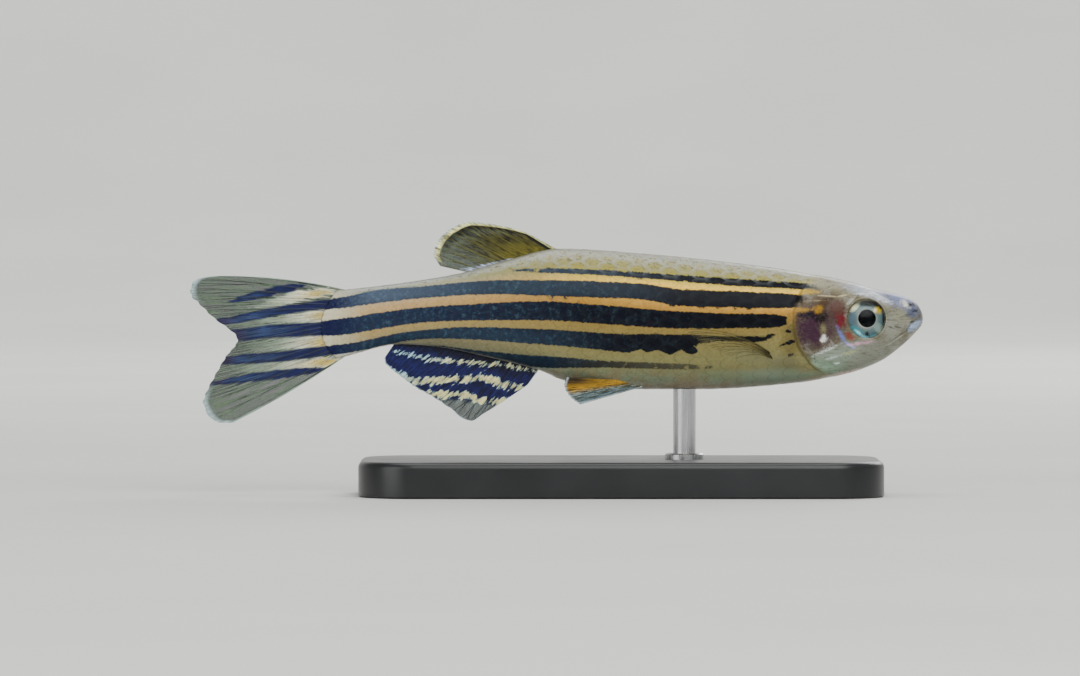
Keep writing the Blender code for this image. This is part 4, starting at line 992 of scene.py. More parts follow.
def paired_fins():
    """The two breast fins and the two belly fins."""
    fins = []
    for sign, word in ((-1, "right"), (1, "left")):
        spread = [(share, sign * y) for share, y in PECTORAL_SPREAD]
        fins.append(Fin(
            "pectoral_" + word, "pectoral_fin_" + word, 9, paired_root(PECTORAL_ROOT, sign), PECTORAL_REACH,
            PECTORAL_HEIGHT, spread, ((0.0, 0.60), (1.0, 0.36)), (0.74, 0.90), 0.40, 1.0, 1.5,
        ))
        spread = [(share, sign * y) for share, y in PELVIC_SPREAD]
        fins.append(Fin(
            "pelvic_" + word, "pelvic_fin_" + word, 8, paired_root(PELVIC_ROOT, sign), PELVIC_REACH,
            PELVIC_HEIGHT, spread, ((0.0, 0.0), (1.0, 0.0)), (0.45, 0.75), 0.7, 1.0, 0.6,
        ))
    return fins


def single_fins():
    """The fins of the back, the belly's rear and the tail."""
    ripple = [(k / 12, 0.22 * math.sin(k / 4)) for k in range(13)]
    dip = [(k / 12, -0.20 * math.sin(3.2 * k / 12)) for k in range(13)]
    wave = [(k / 16, 0.30 * math.cos(math.pi * k / 8)) for k in range(17)]
    arch = [(k / 8, 0.22 * (1 - k / 8) ** 2 - 0.14 * (k / 8) ** 2) for k in range(9)]
    flat = ((0.0, 0.0), (1.0, 0.0))
    return (
        Fin("dorsal", "dorsal_fin", 10, middle_root(DORSAL_ROOT, BACK, -MIDDLE_SINK), DORSAL_REACH,
            DORSAL_HEIGHT, ripple, flat, (0.40, 0.72), 1.0, 1.0, 0.0),
        Fin("anal", "anal_fin", 15, middle_root(ANAL_ROOT, BELLY, MIDDLE_SINK), ANAL_REACH, ANAL_HEIGHT, dip,
            flat, (0.42, 0.74), 1.0, 1.0, 0.0),
        Fin("caudal", "caudal_fin", 19, tail_root, TAIL_FIN_REACH, TAIL_FIN_HEIGHT, wave, arch, (0.36, 0.66),
            1.0, 2.0, 0.0),
    )


def fin_place(fin, share, along):
    """Places (d, y, h) on a fin's middle sheet, at a share across it and a share along its rays."""
    root = fin.root(share)
    tip = np.stack([curve(fin.reach, share), curve(fin.spread, share), curve(fin.height, share)], axis=-1)
    lead = tip - root
    unit = lead / np.linalg.norm(lead, axis=-1, keepdims=True)
    across = np.stack([-unit[..., 2], 0 * unit[..., 1], unit[..., 0]], axis=-1)
    along = np.asarray(along)[..., None]
    way = np.concatenate([along, along**fin.curl, along], axis=-1)
    return root + lead * way + across * curve(fin.bow, share)[..., None] * 4 * along * (1 - along)


def ray_middles(fin):
    """Share across the fin of each ray, the outermost ones close to its edges."""
    pitch = 1.0 / (fin.rays - 1 + 2 * EDGE_SHARE)
    return pitch, pitch * (np.arange(fin.rays) + EDGE_SHARE)


def note_fin(mesh, fin, share, along):
    """Keeps what a fin's finish reads: its markings, the way across and along it and how near its edge."""
    d, h = side_places(mesh)
    dark, light = FIN_BANDS.get(fin.name, ((), ()))
    here = fin_place(fin, share, along)
    to_tip = np.linalg.norm(fin_place(fin, share, np.ones_like(along)) - here, axis=-1)
    to_front = np.linalg.norm(fin_place(fin, np.zeros_like(share), along) - here, axis=-1)
    marks = {
        "stripe": stripe_depth(d, h, dark), "light": stripe_depth(d, h, light), "across": share,
        "outer": np.abs(2 * share - 1), "along": along, "edge": np.minimum(to_tip, to_front), "tip": to_tip,
    }
    for key, values in marks.items():
        note(mesh, key, values)


def membrane(fin, look, material):
    """The fin's thin skin: a closed sheet, scalloped between the ray tips and thinner at its rim."""
    pitch, middles = ray_middles(fin)
    columns, rows = RAY_COLUMNS * fin.rays + 1, MEMBRANE_ROWS
    share, along = np.meshgrid(np.linspace(0, 1, columns), np.linspace(0, 1, rows), indexing="ij")
    nearest = np.min(np.abs(share[..., None] - middles), axis=-1) / pitch
    reach = 1 - SCALLOP * soft_step(0.05, 0.5, nearest)
    sheet = fin_place(fin, share, along * reach)
    normal = np.cross(np.gradient(sheet, axis=0), np.gradient(sheet, axis=1)).mean(axis=0, keepdims=True)
    normal /= np.linalg.norm(normal, axis=-1, keepdims=True)
    half = look.membrane / MM / 2 * (1 - RIM_THINNING * along[..., None] ** 3)
    sides = [place(*np.moveaxis(sheet + way * normal * half, -1, 0)).reshape(-1, 3) for way in (1, -1)]
    faces = grid_faces(columns, rows) + grid_faces(columns, rows, first=columns * rows)
    rim = [i * rows for i in range(columns)] + [(columns - 1) * rows + k for k in range(1, rows)]
    rim += [i * rows + rows - 1 for i in range(columns - 2, -1, -1)] + list(range(rows - 2, 0, -1))
    under = columns * rows
    faces += [(a, b, under + b, under + a) for a, b in zip(rim, rim[1:] + rim[:1])]
    obj = solid(fin.name + "_membrane", np.concatenate(sides), faces, [material])
    note_fin(obj.data, fin, np.tile(share.ravel(), 2), np.tile((along * reach).ravel(), 2))
    return obj


def ray_lines(fin, look):
    """Middle lines of a fin's rays, forked twice, with the thickness at each point."""
    pitch, middles = ray_middles(fin)
    first_fork, second_fork = fin.forks
    shares, alongs, radii, edges = [], [], [], []

    def run(share_at, start, end, from_point):
        steps = max(3, int(RAY_STEPS * (end - start)))
        before = from_point
        for k in range(0 if before is None else 1, steps + 1):
            along = start + (end - start) * k / steps
            shares.append(share_at(along))
            alongs.append(along)
            thick = look.ray_root + (look.ray_tip - look.ray_root) * along
            if along > first_fork:
                thick *= LIMB_THICKNESS if along <= second_fork else TWIG_THICKNESS
            radii.append(thick * fin.slender * (1 + fin.fleshy * hump(along, 0.06)))
            if before is not None:
                edges.append((before, len(shares) - 1))
            before = len(shares) - 1
        return before

    for number, middle in enumerate(middles):
        spine = number in (0, fin.rays - 1)
        fork = run(lambda along: middle, 0.0, SPINE_END if spine else first_fork, None)
        if spine:
            continue
        for way in (-1, 1):
            def limb(along, way=way):
                return middle + way * pitch * LIMB_SPREAD * soft_step(first_fork - 0.08, 0.95, along)
            second = run(limb, first_fork, second_fork, fork)
            for twist in (-1, 1):
                def twig(along, way=way, twist=twist):
                    spread = pitch * TWIG_SPREAD * soft_step(second_fork - 0.05, 1.0, along)
                    return limb(along, way) + twist * spread
                run(twig, second_fork, TWIG_END, second)
    share, along = np.array(shares), np.array(alongs)
    points = place(*np.moveaxis(fin_place(fin, share, along), -1, 0))
    return share, along, points, edges, np.array(radii)


def fin_rays(fin, look, tree):
    """Bony rays of one fin as tapering threads, with the share across and along kept for the finish."""
    share, along, points, edges, radii = ray_lines(fin, look)
    mesh = made_by_nodes(fin.name + "_rays", points, edges, tree, {"Sides": 6}, {
        "thick": radii, "share_here": share, "along_here": along,
    })
    kept = [fetch(mesh.attributes[key].data, "value", 1).ravel() for key in ("share_here", "along_here")]
    note_fin(mesh, fin, *kept)
    return solid_from(fin.name + "_rays", mesh)


def fin_material(name, fin_name, look, on_rays):
    """Fin: a clear, wet membrane with pigment in it over bony rays, which are denser and a little paler.

    Its pigment runs in fine streaks along the rays; where there is little, the background shows through.
    """
    material, tree = blank_material(name)
    paints = FIN_PAINTS[fin_name.split("_")[0]]
    marks = {
        key: add(tree, "ShaderNodeAttribute", out="Fac", attribute_name=key)
        for key in ("stripe", "light", "across", "outer", "along", "edge", "tip")
    }

    # Streaks 0.05 to 0.15 mm wide that follow the rays
    flow = add(tree, "ShaderNodeCombineXYZ", {"X": marks["across"], "Y": marks["along"]})
    flow = add(tree, "ShaderNodeMapping", {"Vector": flow, "Scale": (paints.streaks, 5.0, 1.0)})
    streaks = {"Vector": flow, "Scale": 1.0, "Detail": 3.0, "Roughness": 0.65}
    streaks = add(tree, "ShaderNodeTexNoise", streaks)
    jitter = add(tree, "ShaderNodeMath", {0: streaks, 1: 0.5}, operation="SUBTRACT")
    tones = ((0.34, paints.dark), (0.50, look.film), (0.66, paints.pale))
    film = add(tree, "ShaderNodeValToRGB", {"Fac": streaks}, stops=tones)
    solidity = add(tree, "ShaderNodeMapRange", {
        "Value": streaks, "From Min": 0.35, "From Max": 0.65,
        "To Min": look.clear_low * paints.density, "To Max": look.clear_high * paints.density,
    })
    for bands, code, density in paints.layers:
        share = None
        for key, low, high, rough, most in bands:
            value = {0: jitter, 1: rough, 2: marks[key]}
            value = add(tree, "ShaderNodeMath", value, operation="MULTIPLY_ADD")
            band = {"Value": value, "From Min": low, "From Max": high, "To Max": most}
            band = add(tree, "ShaderNodeMapRange", band, interpolation_type="SMOOTHSTEP")
            if share is not None:
                band = add(tree, "ShaderNodeMath", {0: share, 1: band}, operation="MULTIPLY")
            share = band
        parts = {SHARE: share, FIRST: film, SECOND: code}
        film = add(tree, "ShaderNodeMix", parts, MIXED, data_type="RGBA")
        parts = {0: share, 2: solidity, 3: density}
        solidity = add(tree, "ShaderNodeMix", parts, data_type="FLOAT")

    # Light and dark streaks through all of the pigment
    shade = add(tree, "ShaderNodeMapRange", {
        "Value": streaks, "From Min": 0.36, "From Max": 0.64, "To Min": 1 - paints.contrast,
        "To Max": 1 + paints.contrast,
    })
    film = add(tree, "ShaderNodeVectorMath", {0: film, 1: shade}, operation="MULTIPLY")
    if on_rays:
        # Joints of the rays every 0.3 mm or so
        joints = add(tree, "ShaderNodeMath", {0: marks["along"], 1: 150.0}, operation="MULTIPLY")
        joints = add(tree, "ShaderNodeMath", {0: joints}, operation="SINE")
        joints = {"Value": joints, "From Min": 0.55, "From Max": 0.95, "To Max": 0.3}
        joints = add(tree, "ShaderNodeMapRange", joints)
        for share, code in ((paints.ray_tint, paints.ray), (joints, "#2b3230")):
            parts = {SHARE: share, FIRST: film, SECOND: code}
            film = add(tree, "ShaderNodeMix", parts, MIXED, data_type="RGBA")
        solidity = add(tree, "ShaderNodeMath", {0: solidity, 1: look.ray_solid}, operation="MAXIMUM")
    show(tree, "ShaderNodeBsdfPrincipled", {
        "Base Color": film, "Alpha": solidity, "Roughness": 0.38, "IOR": 1.4, "Specular IOR Level": 0.35,
        "Coat Weight": 0.15, "Coat Roughness": 0.18, "Coat IOR": 1.34,
    })
    return material


# Pigment of a fin: fineness and contrast of its streaks, its dark and pale film, how solid the film is,
# colour of the rays and its share, and layers. A layer has the bands that it is kept to, its colour and how
# solid it is, and a band has a mark, where it starts and is full, how ragged it is and its strength
FinPaint = namedtuple("FinPaint", "streaks contrast dark pale density ray ray_tint layers")
FIN_PAINTS = {
    "caudal": FinPaint(90.0, 0.50, "#18211f", "#55664f", 1.12, "#8f9a84", 0.08, (
        ((("along", 0.16, 0.0, 0.10, 0.9),), "#9fa48c", 0.95),
        ((("light", -0.08, 0.06, 1.0, 0.95), ("along", 1.0, 0.45, 0.3, 1.0)), "#93a48f", 0.90),
        ((("light", -0.02, 0.12, 1.3, 1.0), ("along", 0.62, 0.25, 0.5, 1.0)), "#d9d8c0", 0.95),
        ((("light", 0.08, 0.22, 1.2, 1.0), ("along", 0.40, 0.14, 0.3, 1.0)), "#cfb75c", 0.96),
        ((("stripe", -0.06, 0.06, 0.50, 1.0),), "#0f1646", 0.96),
        ((("stripe", 0.06, 0.22, 0.50, 0.6), ("along", 0.35, 0.75, 0.3, 1.0)), "#32466e", 0.93),
        ((("stripe", -0.02, 0.10, 0.40, 0.8), ("along", 0.84, 0.98, 0.1, 1.0)), "#2a1c3c", 0.93),
        ((("tip", 0.50, 0.15, 0.30, 1.0), ("outer", 0.50, 0.80, 0.0, 0.95)), "#b4cbcf", 0.9),
        ((("outer", 0.975, 0.995, 0.0, 0.7),), "#a9c2b6", 0.85),
    )),
    "anal": FinPaint(44.0, 0.60, "#10142e", "#5d6f70", 1.0, "#4a5a94", 0.10, (
        ((("along", -0.05, 0.02, 0.0, 1.0),), "#11144a", 0.97),
        ((("along", 0.34, 0.10, 0.3, 0.9),), "#090a1c", 0.98),
        ((("stripe", -0.15, 0.15, 0.8, 0.9),), "#4a5850", 0.66),
        ((("light", -0.05, 0.05, 1.4, 1.0),), "#97bcc6", 0.95),
        ((("light", -0.02, 0.08, 1.4, 1.0), ("across", 0.85, 0.45, 0.4, 0.95)), "#cdc788", 0.96),
        ((("edge", 0.12, 0.03, 0.05, 0.7),), "#9fb6c0", 0.9),
    )),
    "dorsal": FinPaint(34.0, 0.80, "#0f120c", "#48503f", 1.15, "#857d22", 0.30, (
        ((("along", 1.0, 0.50, 0.3, 1.0), ("across", 0.95, 0.45, 0.2, 0.95)), "#3a360c", 0.94),
        ((("along", 0.50, 0.05, 0.4, 1.0), ("across", 0.90, 0.40, 0.3, 0.8)), "#6b641b", 0.94),
        ((("edge", 1.15, 0.62, 0.45, 1.0), ("across", 0.88, 0.50, 0.2, 0.97)), "#07090c", 0.97),
        ((("edge", 0.44, 0.34, 0.25, 1.0), ("across", 0.98, 0.80, 0.0, 1.0)), "#d9d896", 0.95),
        ((("edge", 0.20, 0.08, 0.10, 1.0), ("across", 0.98, 0.80, 0.0, 0.8)), "#c5d4d2", 0.92),
        ((("light", -0.06, 0.06, 0.30, 0.9),), "#aebcd2", 0.92),
    )),
    "pelvic": FinPaint(38.0, 0.85, "#16262c", "#8fa6ae", 1.0, "#a88f34", 0.25, (
        ((("across", 0.40, 0.62, 0.45, 1.0),), "#a37a14", 0.93),
        ((("across", 0.66, 0.86, 0.6, 1.0), ("along", 0.30, 0.85, 0.6, 1.0)), "#2b1b08", 0.95),
        ((("across", 0.52, 0.20, 0.3, 0.7),), "#56707c", 0.78),
        ((("edge", 0.20, 0.05, 0.1, 0.8),), "#b7cbd6", 0.85),
    )),
    "pectoral": FinPaint(40.0, 0.30, "#8a7a34", "#c0b060", 0.10, "#3a2c0a", 0.85, ()),
}


def turned_points(profile, steps, where):
    """Points of a turned shape from a profile of (radius, height), pole to pole, in place, and its faces."""
    angle = np.arange(steps) * 2 * math.pi / steps
    ring_of = np.stack([np.cos(angle), np.sin(angle), np.ones(steps)], axis=-1)
    rings = [ring_of * (r, r, z) for r, z in profile[1:-1]]
    points = np.concatenate([[(0.0, 0.0, profile[0][1])], *rings, [(0.0, 0.0, profile[-1][1])]]) * MM
    faces = grid_faces(len(rings), steps, joined=True, first=1)
    last = len(points) - 1
    ring = last - steps
    faces += [(0, 1 + (k + 1) % steps, 1 + k) for k in range(steps)]
    faces += [(last, ring + k, ring + (k + 1) % steps) for k in range(steps)]
    where = np.array(where)
    return points @ where[:3, :3].T + where[:3, 3], faces


def eyeball(name, sign, materials):
    """Iris as a shallow bowl with the lens standing through its middle, and a rounded back."""
    lens = [(r, LENS_LEVEL + LENS_BULGE * math.sqrt(1 - (r / PUPIL_RADIUS) ** 2)) for r in
            (0.0, 0.1, 0.2, 0.3, 0.38, 0.45, 0.50, 0.535, 0.555)]
    iris = [(r, IRIS_LEVEL + IRIS_BULGE * (1 - (r / EYE_RADIUS) ** 2) + fold(r, PUPIL_RIM)) for r in
            np.linspace(PUPIL_RADIUS + 0.008, EYE_RADIUS, 18)]
    back = [(EYE_RADIUS * math.cos(a), -BALL_DEPTH * math.sin(a)) for a in
            np.linspace(0.08, math.pi / 2, 12)]
    points, faces = turned_points(lens + iris + back, 72, eye_place(sign))
    obj = solid(name, points, faces, materials)
    where = eye_place(sign).inverted()
    for polygon in obj.data.polygons:
        local = where @ polygon.center
        if local.z > 0 and math.hypot(local.x, local.y) < PUPIL_RADIUS * MM:
            polygon.material_index = 1
    return obj


def cornea(name, sign, material, thickness):
    """Clear front of the eye: a thin dome over iris and lens."""
    spots = np.concatenate([[0.0], np.sin(np.linspace(0.06, 1.40, 22)) * CORNEA_RADIUS])
    outer = [(r, CORNEA_RISE * math.sqrt(1 - (r / CORNEA_RADIUS) ** 2)) for r in spots]
    inner = [(r * (1 - thickness / CORNEA_RADIUS), z - thickness) for r, z in reversed(outer)]
    points, faces = turned_points(outer + inner, 64, eye_place(sign))
    return solid(name, points, faces, [material])


def iris_material(look):
    """Iris of a fish: silver mirror tissue with fine radial folds, pale round the pupil, dark at its rim."""
    material, tree = blank_material("Silvery iris tissue")
    spot = fish_place(tree)
    flat = add(tree, "ShaderNodeMapping", {
        "Vector": spot, "Location": (-EYE_CENTRE[0], 0.0, EYE_CENTRE[1]), "Scale": (1.0, 1000.0, 1.0),
    }, vector_type="TEXTURE")
    far = add(tree, "ShaderNodeVectorMath", {0: flat}, "Value", operation="LENGTH")
    far = add(tree, "ShaderNodeMath", {0: far, 1: 1 / EYE_RADIUS}, operation="MULTIPLY")
    way = add(tree, "ShaderNodeVectorMath", {0: flat}, operation="NORMALIZE")
    folds = add(tree, "ShaderNodeTexNoise", {"Vector": way, "Scale": 9.0, "Detail": 3.0})
    share = add(tree, "ShaderNodeMath", {0: folds, 1: 0.06, 2: far}, operation="MULTIPLY_ADD")
    colour = add(tree, "ShaderNodeValToRGB", {"Fac": share}, stops=(
        (0.49, "#a3a79c"), (0.54, "#7f8b88"), (0.64, look.iris), (0.84, "#4a6066"), (0.93, "#2c3c42"),
        (0.97, "#6f6836"), (1.0, "#12130c"),
    ))
    ragged = add(tree, "ShaderNodeMath", {0: folds, 1: 0.5}, operation="SUBTRACT")
    # Spots over the iris, two of them painted glints of light
    colour = with_marks(tree, colour, spot, IRIS_MARKS_AND_GLINTS, ragged)
    relief = add(tree, "ShaderNodeBump", {"Height": folds, "Strength": 0.3, "Distance": 0.04 * MM})
    show(tree, "ShaderNodeBsdfPrincipled", {
        "Base Color": colour, "Metallic": 0.30, "Roughness": 0.36, "Specular IOR Level": 0.10,
        "Normal": relief,
    })
    return material


def lens_material():
    """Lens in the pupil: clear over a black eye chamber, so it reads as deep glossy black."""
    material, tree = blank_material("Black eye lens")
    haze = add(tree, "ShaderNodeTexNoise", {"Vector": fish_place(tree), "Scale": 2.5})
    colour = add(tree, "ShaderNodeValToRGB", {"Fac": haze}, stops=((0.3, "#020304"), (0.7, "#070b0e")))
    show(tree, "ShaderNodeBsdfPrincipled", {
        "Base Color": colour, "Roughness": 0.12, "IOR": 1.42, "Specular IOR Level": 0.1,
    })
    return material


def cornea_material():
    """Wet cornea: clear, and it mirrors little, as an eye does under water."""
    material, tree = blank_material("Wet clear cornea")
    mirror = add(tree, "ShaderNodeFresnel", {"IOR": 1.376})
    mirror = add(tree, "ShaderNodeMath", {0: mirror, 1: 0.15}, operation="MULTIPLY")
    clear = add(tree, "ShaderNodeBsdfTransparent")
    gloss = add(tree, "ShaderNodeBsdfGlossy", {"Roughness": 0.04})
    show(tree, "ShaderNodeMixShader", {0: mirror, 1: clear, 2: gloss})
    return material


def acrylic_material(look):
    """Satin black acrylic, sawn and flame-eased: faint haze and hairline marks in its gloss."""
    material, tree = blank_material("Satin black acrylic")
    spot = add(tree, "ShaderNodeTexCoord", out="Object")
    haze = add(tree, "ShaderNodeTexNoise", {"Vector": spot, "Scale": 250.0, "Detail": 3.0})
    hair = add(tree, "ShaderNodeMapping", {"Vector": spot, "Scale": (400.0, 9000.0, 400.0)})
    hair = add(tree, "ShaderNodeTexNoise", {"Vector": hair, "Scale": 1.0, "Detail": 1.0})
    rough = add(tree, "ShaderNodeMapRange", {"Value": haze, "To Min": 0.24, "To Max": 0.40})
    colour = {SHARE: haze, FIRST: look.acrylic, SECOND: "#26272a"}
    colour = add(tree, "ShaderNodeMix", colour, MIXED, data_type="RGBA")
    relief = add(tree, "ShaderNodeBump", {"Height": hair, "Strength": 0.06, "Distance": 0.02 * MM})
    show(tree, "ShaderNodeBsdfPrincipled", {
        "Base Color": colour, "Roughness": rough, "IOR": 1.49, "Normal": relief,
    })
    return material


def steel_material():
    """Drawn stainless rod: bright metal with fine lines along its length."""
    material, tree = blank_material("Drawn stainless steel")
    spot = add(tree, "ShaderNodeTexCoord", out="Object")
    lines = add(tree, "ShaderNodeMapping", {"Vector": spot, "Scale": (14000.0, 14000.0, 300.0)})
    lines = add(tree, "ShaderNodeTexNoise", {"Vector": lines, "Scale": 1.0})
    rough = add(tree, "ShaderNodeMapRange", {"Value": lines, "To Min": 0.18, "To Max": 0.36})
    colour = add(tree, "ShaderNodeValToRGB", {"Fac": lines}, stops=((0.3, "#b4b5b8"), (0.7, "#cfd0d2")))
    relief = add(tree, "ShaderNodeBump", {"Height": lines, "Strength": 0.15, "Distance": 0.01 * MM})
    show(tree, "ShaderNodeBsdfPrincipled", {
        "Base Color": colour, "Metallic": 1.0, "Roughness": rough, "Normal": relief,
    })
    return material


def card_material(look):
    """Matt pale studio card, with a very faint mottle."""
    material, tree = blank_material("Matt studio card")
    spot = add(tree, "ShaderNodeTexCoord", out="Object")
    mottle = add(tree, "ShaderNodeTexNoise", {"Vector": spot, "Scale": 30.0})
    colour = {SHARE: mottle, FIRST: look.card, SECOND: "#d3d3cf"}
    colour = add(tree, "ShaderNodeMix", colour, MIXED, data_type="RGBA")
    show(tree, "ShaderNodeBsdfPrincipled", {"Base Color": colour, "Roughness": 0.85})
    return material


def colour_property(name, description, code):
    """A setting for a colour, from its hex code."""
    return bpy.props.FloatVectorProperty(
        name=name, description=description, default=paint(code)[:3], subtype="COLOR", size=3, min=0.0,
        max=1.0)


def length_property(name, description, millimetres):
    """A setting for a length."""
    return bpy.props.FloatProperty(
        name=name, description=description, default=millimetres * MM, min=1e-6, precision=6, unit="LENGTH")


def share_property(name, description, share):
    """A setting from 0 to 1."""
    return bpy.props.FloatProperty(
        name=name, description=description, default=share, min=0.0, max=1.0, subtype="FACTOR")


class DanioSkinSettings(bpy.types.PropertyGroup):
    """Fineness and colours of the skin and its scales."""

    head_step: length_property("Head ring spacing", "Distance between the skin's rings on the head", 0.045)
    body_step: length_property("Body ring spacing", "Distance between the skin's rings on the flank", 0.12)
    sides: bpy.props.IntProperty(
        name="Points in a ring", description="How finely a ring is divided", default=160)
    coat_depth: length_property("Coat depth", "How far the skin lies under the scales' surface", 0.035)
    rows: bpy.props.IntProperty(name="Scale rows", description="Rows of scales from back to keel", default=13)
    longest: length_property("Longest scale spacing", "Spacing of the scales along the trunk", 0.95)
    shortest: length_property("Shortest scale spacing", "Spacing of the scales at the tail's root", 0.58)
    scale_thickness: length_property("Scale thickness", "Thickness of one scale in its middle", 0.018)
    dark_front: colour_property("Front stripe colour", "Dark stripes behind the head", "#05070e")
    dark_rear: colour_property("Rear stripe colour", "Dark stripes on the tail", "#26344c")


class DanioFinSettings(bpy.types.PropertyGroup):
    """Thickness, clearness and colour of the fins."""

    membrane: length_property("Membrane thickness", "Thickness of the skin between the rays", 0.036)
    ray_root: length_property("Ray radius at the root", "Radius of a ray where it leaves the body", 0.055)
    ray_tip: length_property("Ray radius at the tip", "Radius of a ray at its tip, if it had no forks", 0.034)
    film: colour_property("Membrane colour", "Clear parts of the fins", "#46564a")
    clear_low: share_property("Clear part", "How solid the clearest membrane is", 0.50)
    clear_high: share_property("Cloudy part", "How solid the cloudiest membrane is", 0.74)
    ray_solid: share_property("Ray solidity", "How solid a ray is at least", 0.85)


class DanioEyeSettings(bpy.types.PropertyGroup):
    """Colour and clear front of the eyes."""

    iris: colour_property("Iris colour", "Middle of the iris", "#627878")
    cornea: length_property("Cornea thickness", "Thickness of the eye's clear front", 0.03)


class DanioStandSettings(bpy.types.PropertyGroup):
    """Display stand."""

    acrylic: colour_property("Acrylic colour", "Base of the stand", "#131416")
    edge: length_property("Eased edge", "Radius of the base's edges", 0.4)


class DanioStageSettings(bpy.types.PropertyGroup):
    """Floor, lights and camera."""

    card: colour_property("Card colour", "Floor and backdrop", "#e2e2de")
    distance: length_property("Camera distance", "From the camera to the fish", 450.0)
    elevation: bpy.props.FloatProperty(
        name="Camera elevation", description="Angle of the camera over the fish's level",
        default=math.radians(1.2), unit="ROTATION")
    key_power: bpy.props.FloatProperty(name="Key light", description="Power of the main light", default=1.25)


class DANIO_OT_skin(bpy.types.Operator):
    """Build the one skin of head, trunk and tail, with gill covers, mouth, nostrils and eye hollows"""

    bl_idname = "danio.skin"
    bl_label = "Skin"

    def execute(self, context):
        look = context.scene.danio_skin
        rings = skin_rings(look)
        angles = (np.arange(look.sides) + 0.5) * 2 * math.pi / look.sides
        d, angle = np.meshgrid(rings, angles, indexing="ij")
        d = rounded_end(d, angle)
        swell = skin_relief(d, section(d, angle)[1], np.abs(np.sin(angle)), look.coat_depth / MM)
        points = sink_orbits(body_surface(d, angle, swell))
        faces = grid_faces(len(rings), look.sides, joined=True)
        last = (len(rings) - 1) * look.sides
        poles = np.stack([points[0].mean(axis=0), points[-1].mean(axis=0)])

        # The rear pole lies no farther forward than any point of the last ring
        poles[1, 0] = points[-1, :, 0].min()
        count = len(rings) * look.sides
        for first, pole in ((0, count), (last, count + 1)):
            faces += [(pole, first + k, first + (k + 1) % look.sides) for k in range(look.sides)]
        material = hide_material("Wet fish skin", look, False)
        obj = solid("fish_skin", np.concatenate([points.reshape(-1, 3), poles]), faces, [material])
        note_flank(obj.data)
        settle(obj, ("head", "torso", "tail"))
        return {"FINISHED"}


class DANIO_OT_feelers(bpy.types.Operator):
    """Build the two pairs of feelers beside the mouth"""

    bl_idname = "danio.feelers"
    bl_label = "Feelers"

    def execute(self, context):
        material = hide_material("Feeler skin", context.scene.danio_skin, False)
        tree = thread_tree(material)
        points, edges, radii = [], [], []
        pairs = ((LONG_FEELER, LONG_FEELER_OFF, 1.0), (SHORT_FEELER, SHORT_FEELER_OFF, 0.75))
        for route, off, thick in pairs:
            for sign in (-1, 1):
                along = np.linspace(0.0, 1.0, 22)
                d = route[0][0] + (route[-1][0] - route[0][0]) * along
                h = curve(route, d)
                start = len(points)
                points += list(place(d, sign * (flank_width(d, h) + curve(off, d)), h))
                radii += list(thick * MM * (FEELER_RADIUS - FEELER_TAPER * along**0.8))
                edges += [(start + k, start + k + 1) for k in range(len(along) - 1)]
        mesh = made_by_nodes("feelers", points, edges, tree, {"Sides": 10}, {"thick": radii})
        note_flank(mesh)
        settle(solid_from("feelers", mesh))
        return {"FINISHED"}


class DANIO_OT_scales(bpy.types.Operator):
    """Cover trunk and tail with overlapping scales, one piece for each flank"""

    bl_idname = "danio.scales"
    bl_label = "Scales"

    def execute(self, context):
        look = context.scene.danio_skin
        tree = scale_tree(hide_material("Wet fish scales", look, True))
        column, along = scale_columns(look)
        rings, table = girth_angles()
        roots = scale_roots(int(column[-1]) + 1, look.rows)
        root_d = np.interp(roots[:, 0], column, along)
        root_turn = roots[:, 1] / look.rows
        _, root_h = section(root_d, angle_at(root_d, root_turn, rings, table))
        bare = (root_d < BARE_HEAD) | (root_d > SKIN_END - BARE_END)
        bare |= gill_ring(root_d, root_h) < BARE_RING
        for word, side in (("right", root_turn < 0), ("left", root_turn >= 0)):
            kept = roots[side & ~bare]
            flat = np.column_stack([kept, np.zeros(len(kept))])
            mesh = made_by_nodes("scales_" + word, flat, [], tree, {
                "Length": SCALE_LENGTH, "Width": SCALE_WIDTH, "Thickness": look.scale_thickness / MM / 2,
                "Rise": SCALE_RISE, "Wobble": SCALE_WOBBLE,
            })
            spots = fetch(mesh.vertices, "co", 3)
            d = np.interp(spots[:, 0], column, along)
            angle = angle_at(d, spots[:, 1] / look.rows, rings, table)
            lift = spots[:, 2] - look.coat_depth / MM * SCALE_SINK
            mesh.vertices.foreach_set("co", body_surface(rounded_end(d, angle), angle, lift).ravel())
            self.lay_bake_map(mesh, kept, look.rows, column[-1])
            note_flank(mesh)
            obj = solid_from("scales_" + word, mesh)
            obj.data.set_sharp_from_angle(angle=SCALE_CREASE)
            settle(obj)
        return {"FINISHED"}

    def lay_bake_map(self, mesh, roots, rows, columns):
        """Gives each scale a small round patch, at its root's place on the flank unrolled."""
        margin, patch = 0.02, 0.0015
        plate = fetch(mesh.attributes["plate"].data, "vector", 3)[:, :2]
        each = len(mesh.vertices) // len(roots)
        home = np.column_stack([roots[:, 0] / columns, (roots[:, 1] / rows + 1) / 2])
        spots = margin + (1 - 2 * margin) * np.repeat(home, each, axis=0) + patch * plate
        corners = np.empty(len(mesh.loops), int)
        mesh.loops.foreach_get("vertex_index", corners)
        layer = mesh.uv_layers.new(name="OFBake")
        layer.uv.foreach_set("vector", spots[corners].ravel())


class DANIO_OT_single_fins(bpy.types.Operator):
    """Build the dorsal, anal and tail fins: clear membranes over forked rays"""

    bl_idname = "danio.single_fins"
    bl_label = "Single fins"

    def execute(self, context):
        for fin in single_fins():
            build_fin(fin, context.scene.danio_fins)
        return {"FINISHED"}


class DANIO_OT_paired_fins(bpy.types.Operator):
    """Build the pectoral and pelvic fins of both sides"""

    bl_idname = "danio.paired_fins"
    bl_label = "Paired fins"

    def execute(self, context):
        for fin in paired_fins():
            build_fin(fin, context.scene.danio_fins)
        return {"FINISHED"}


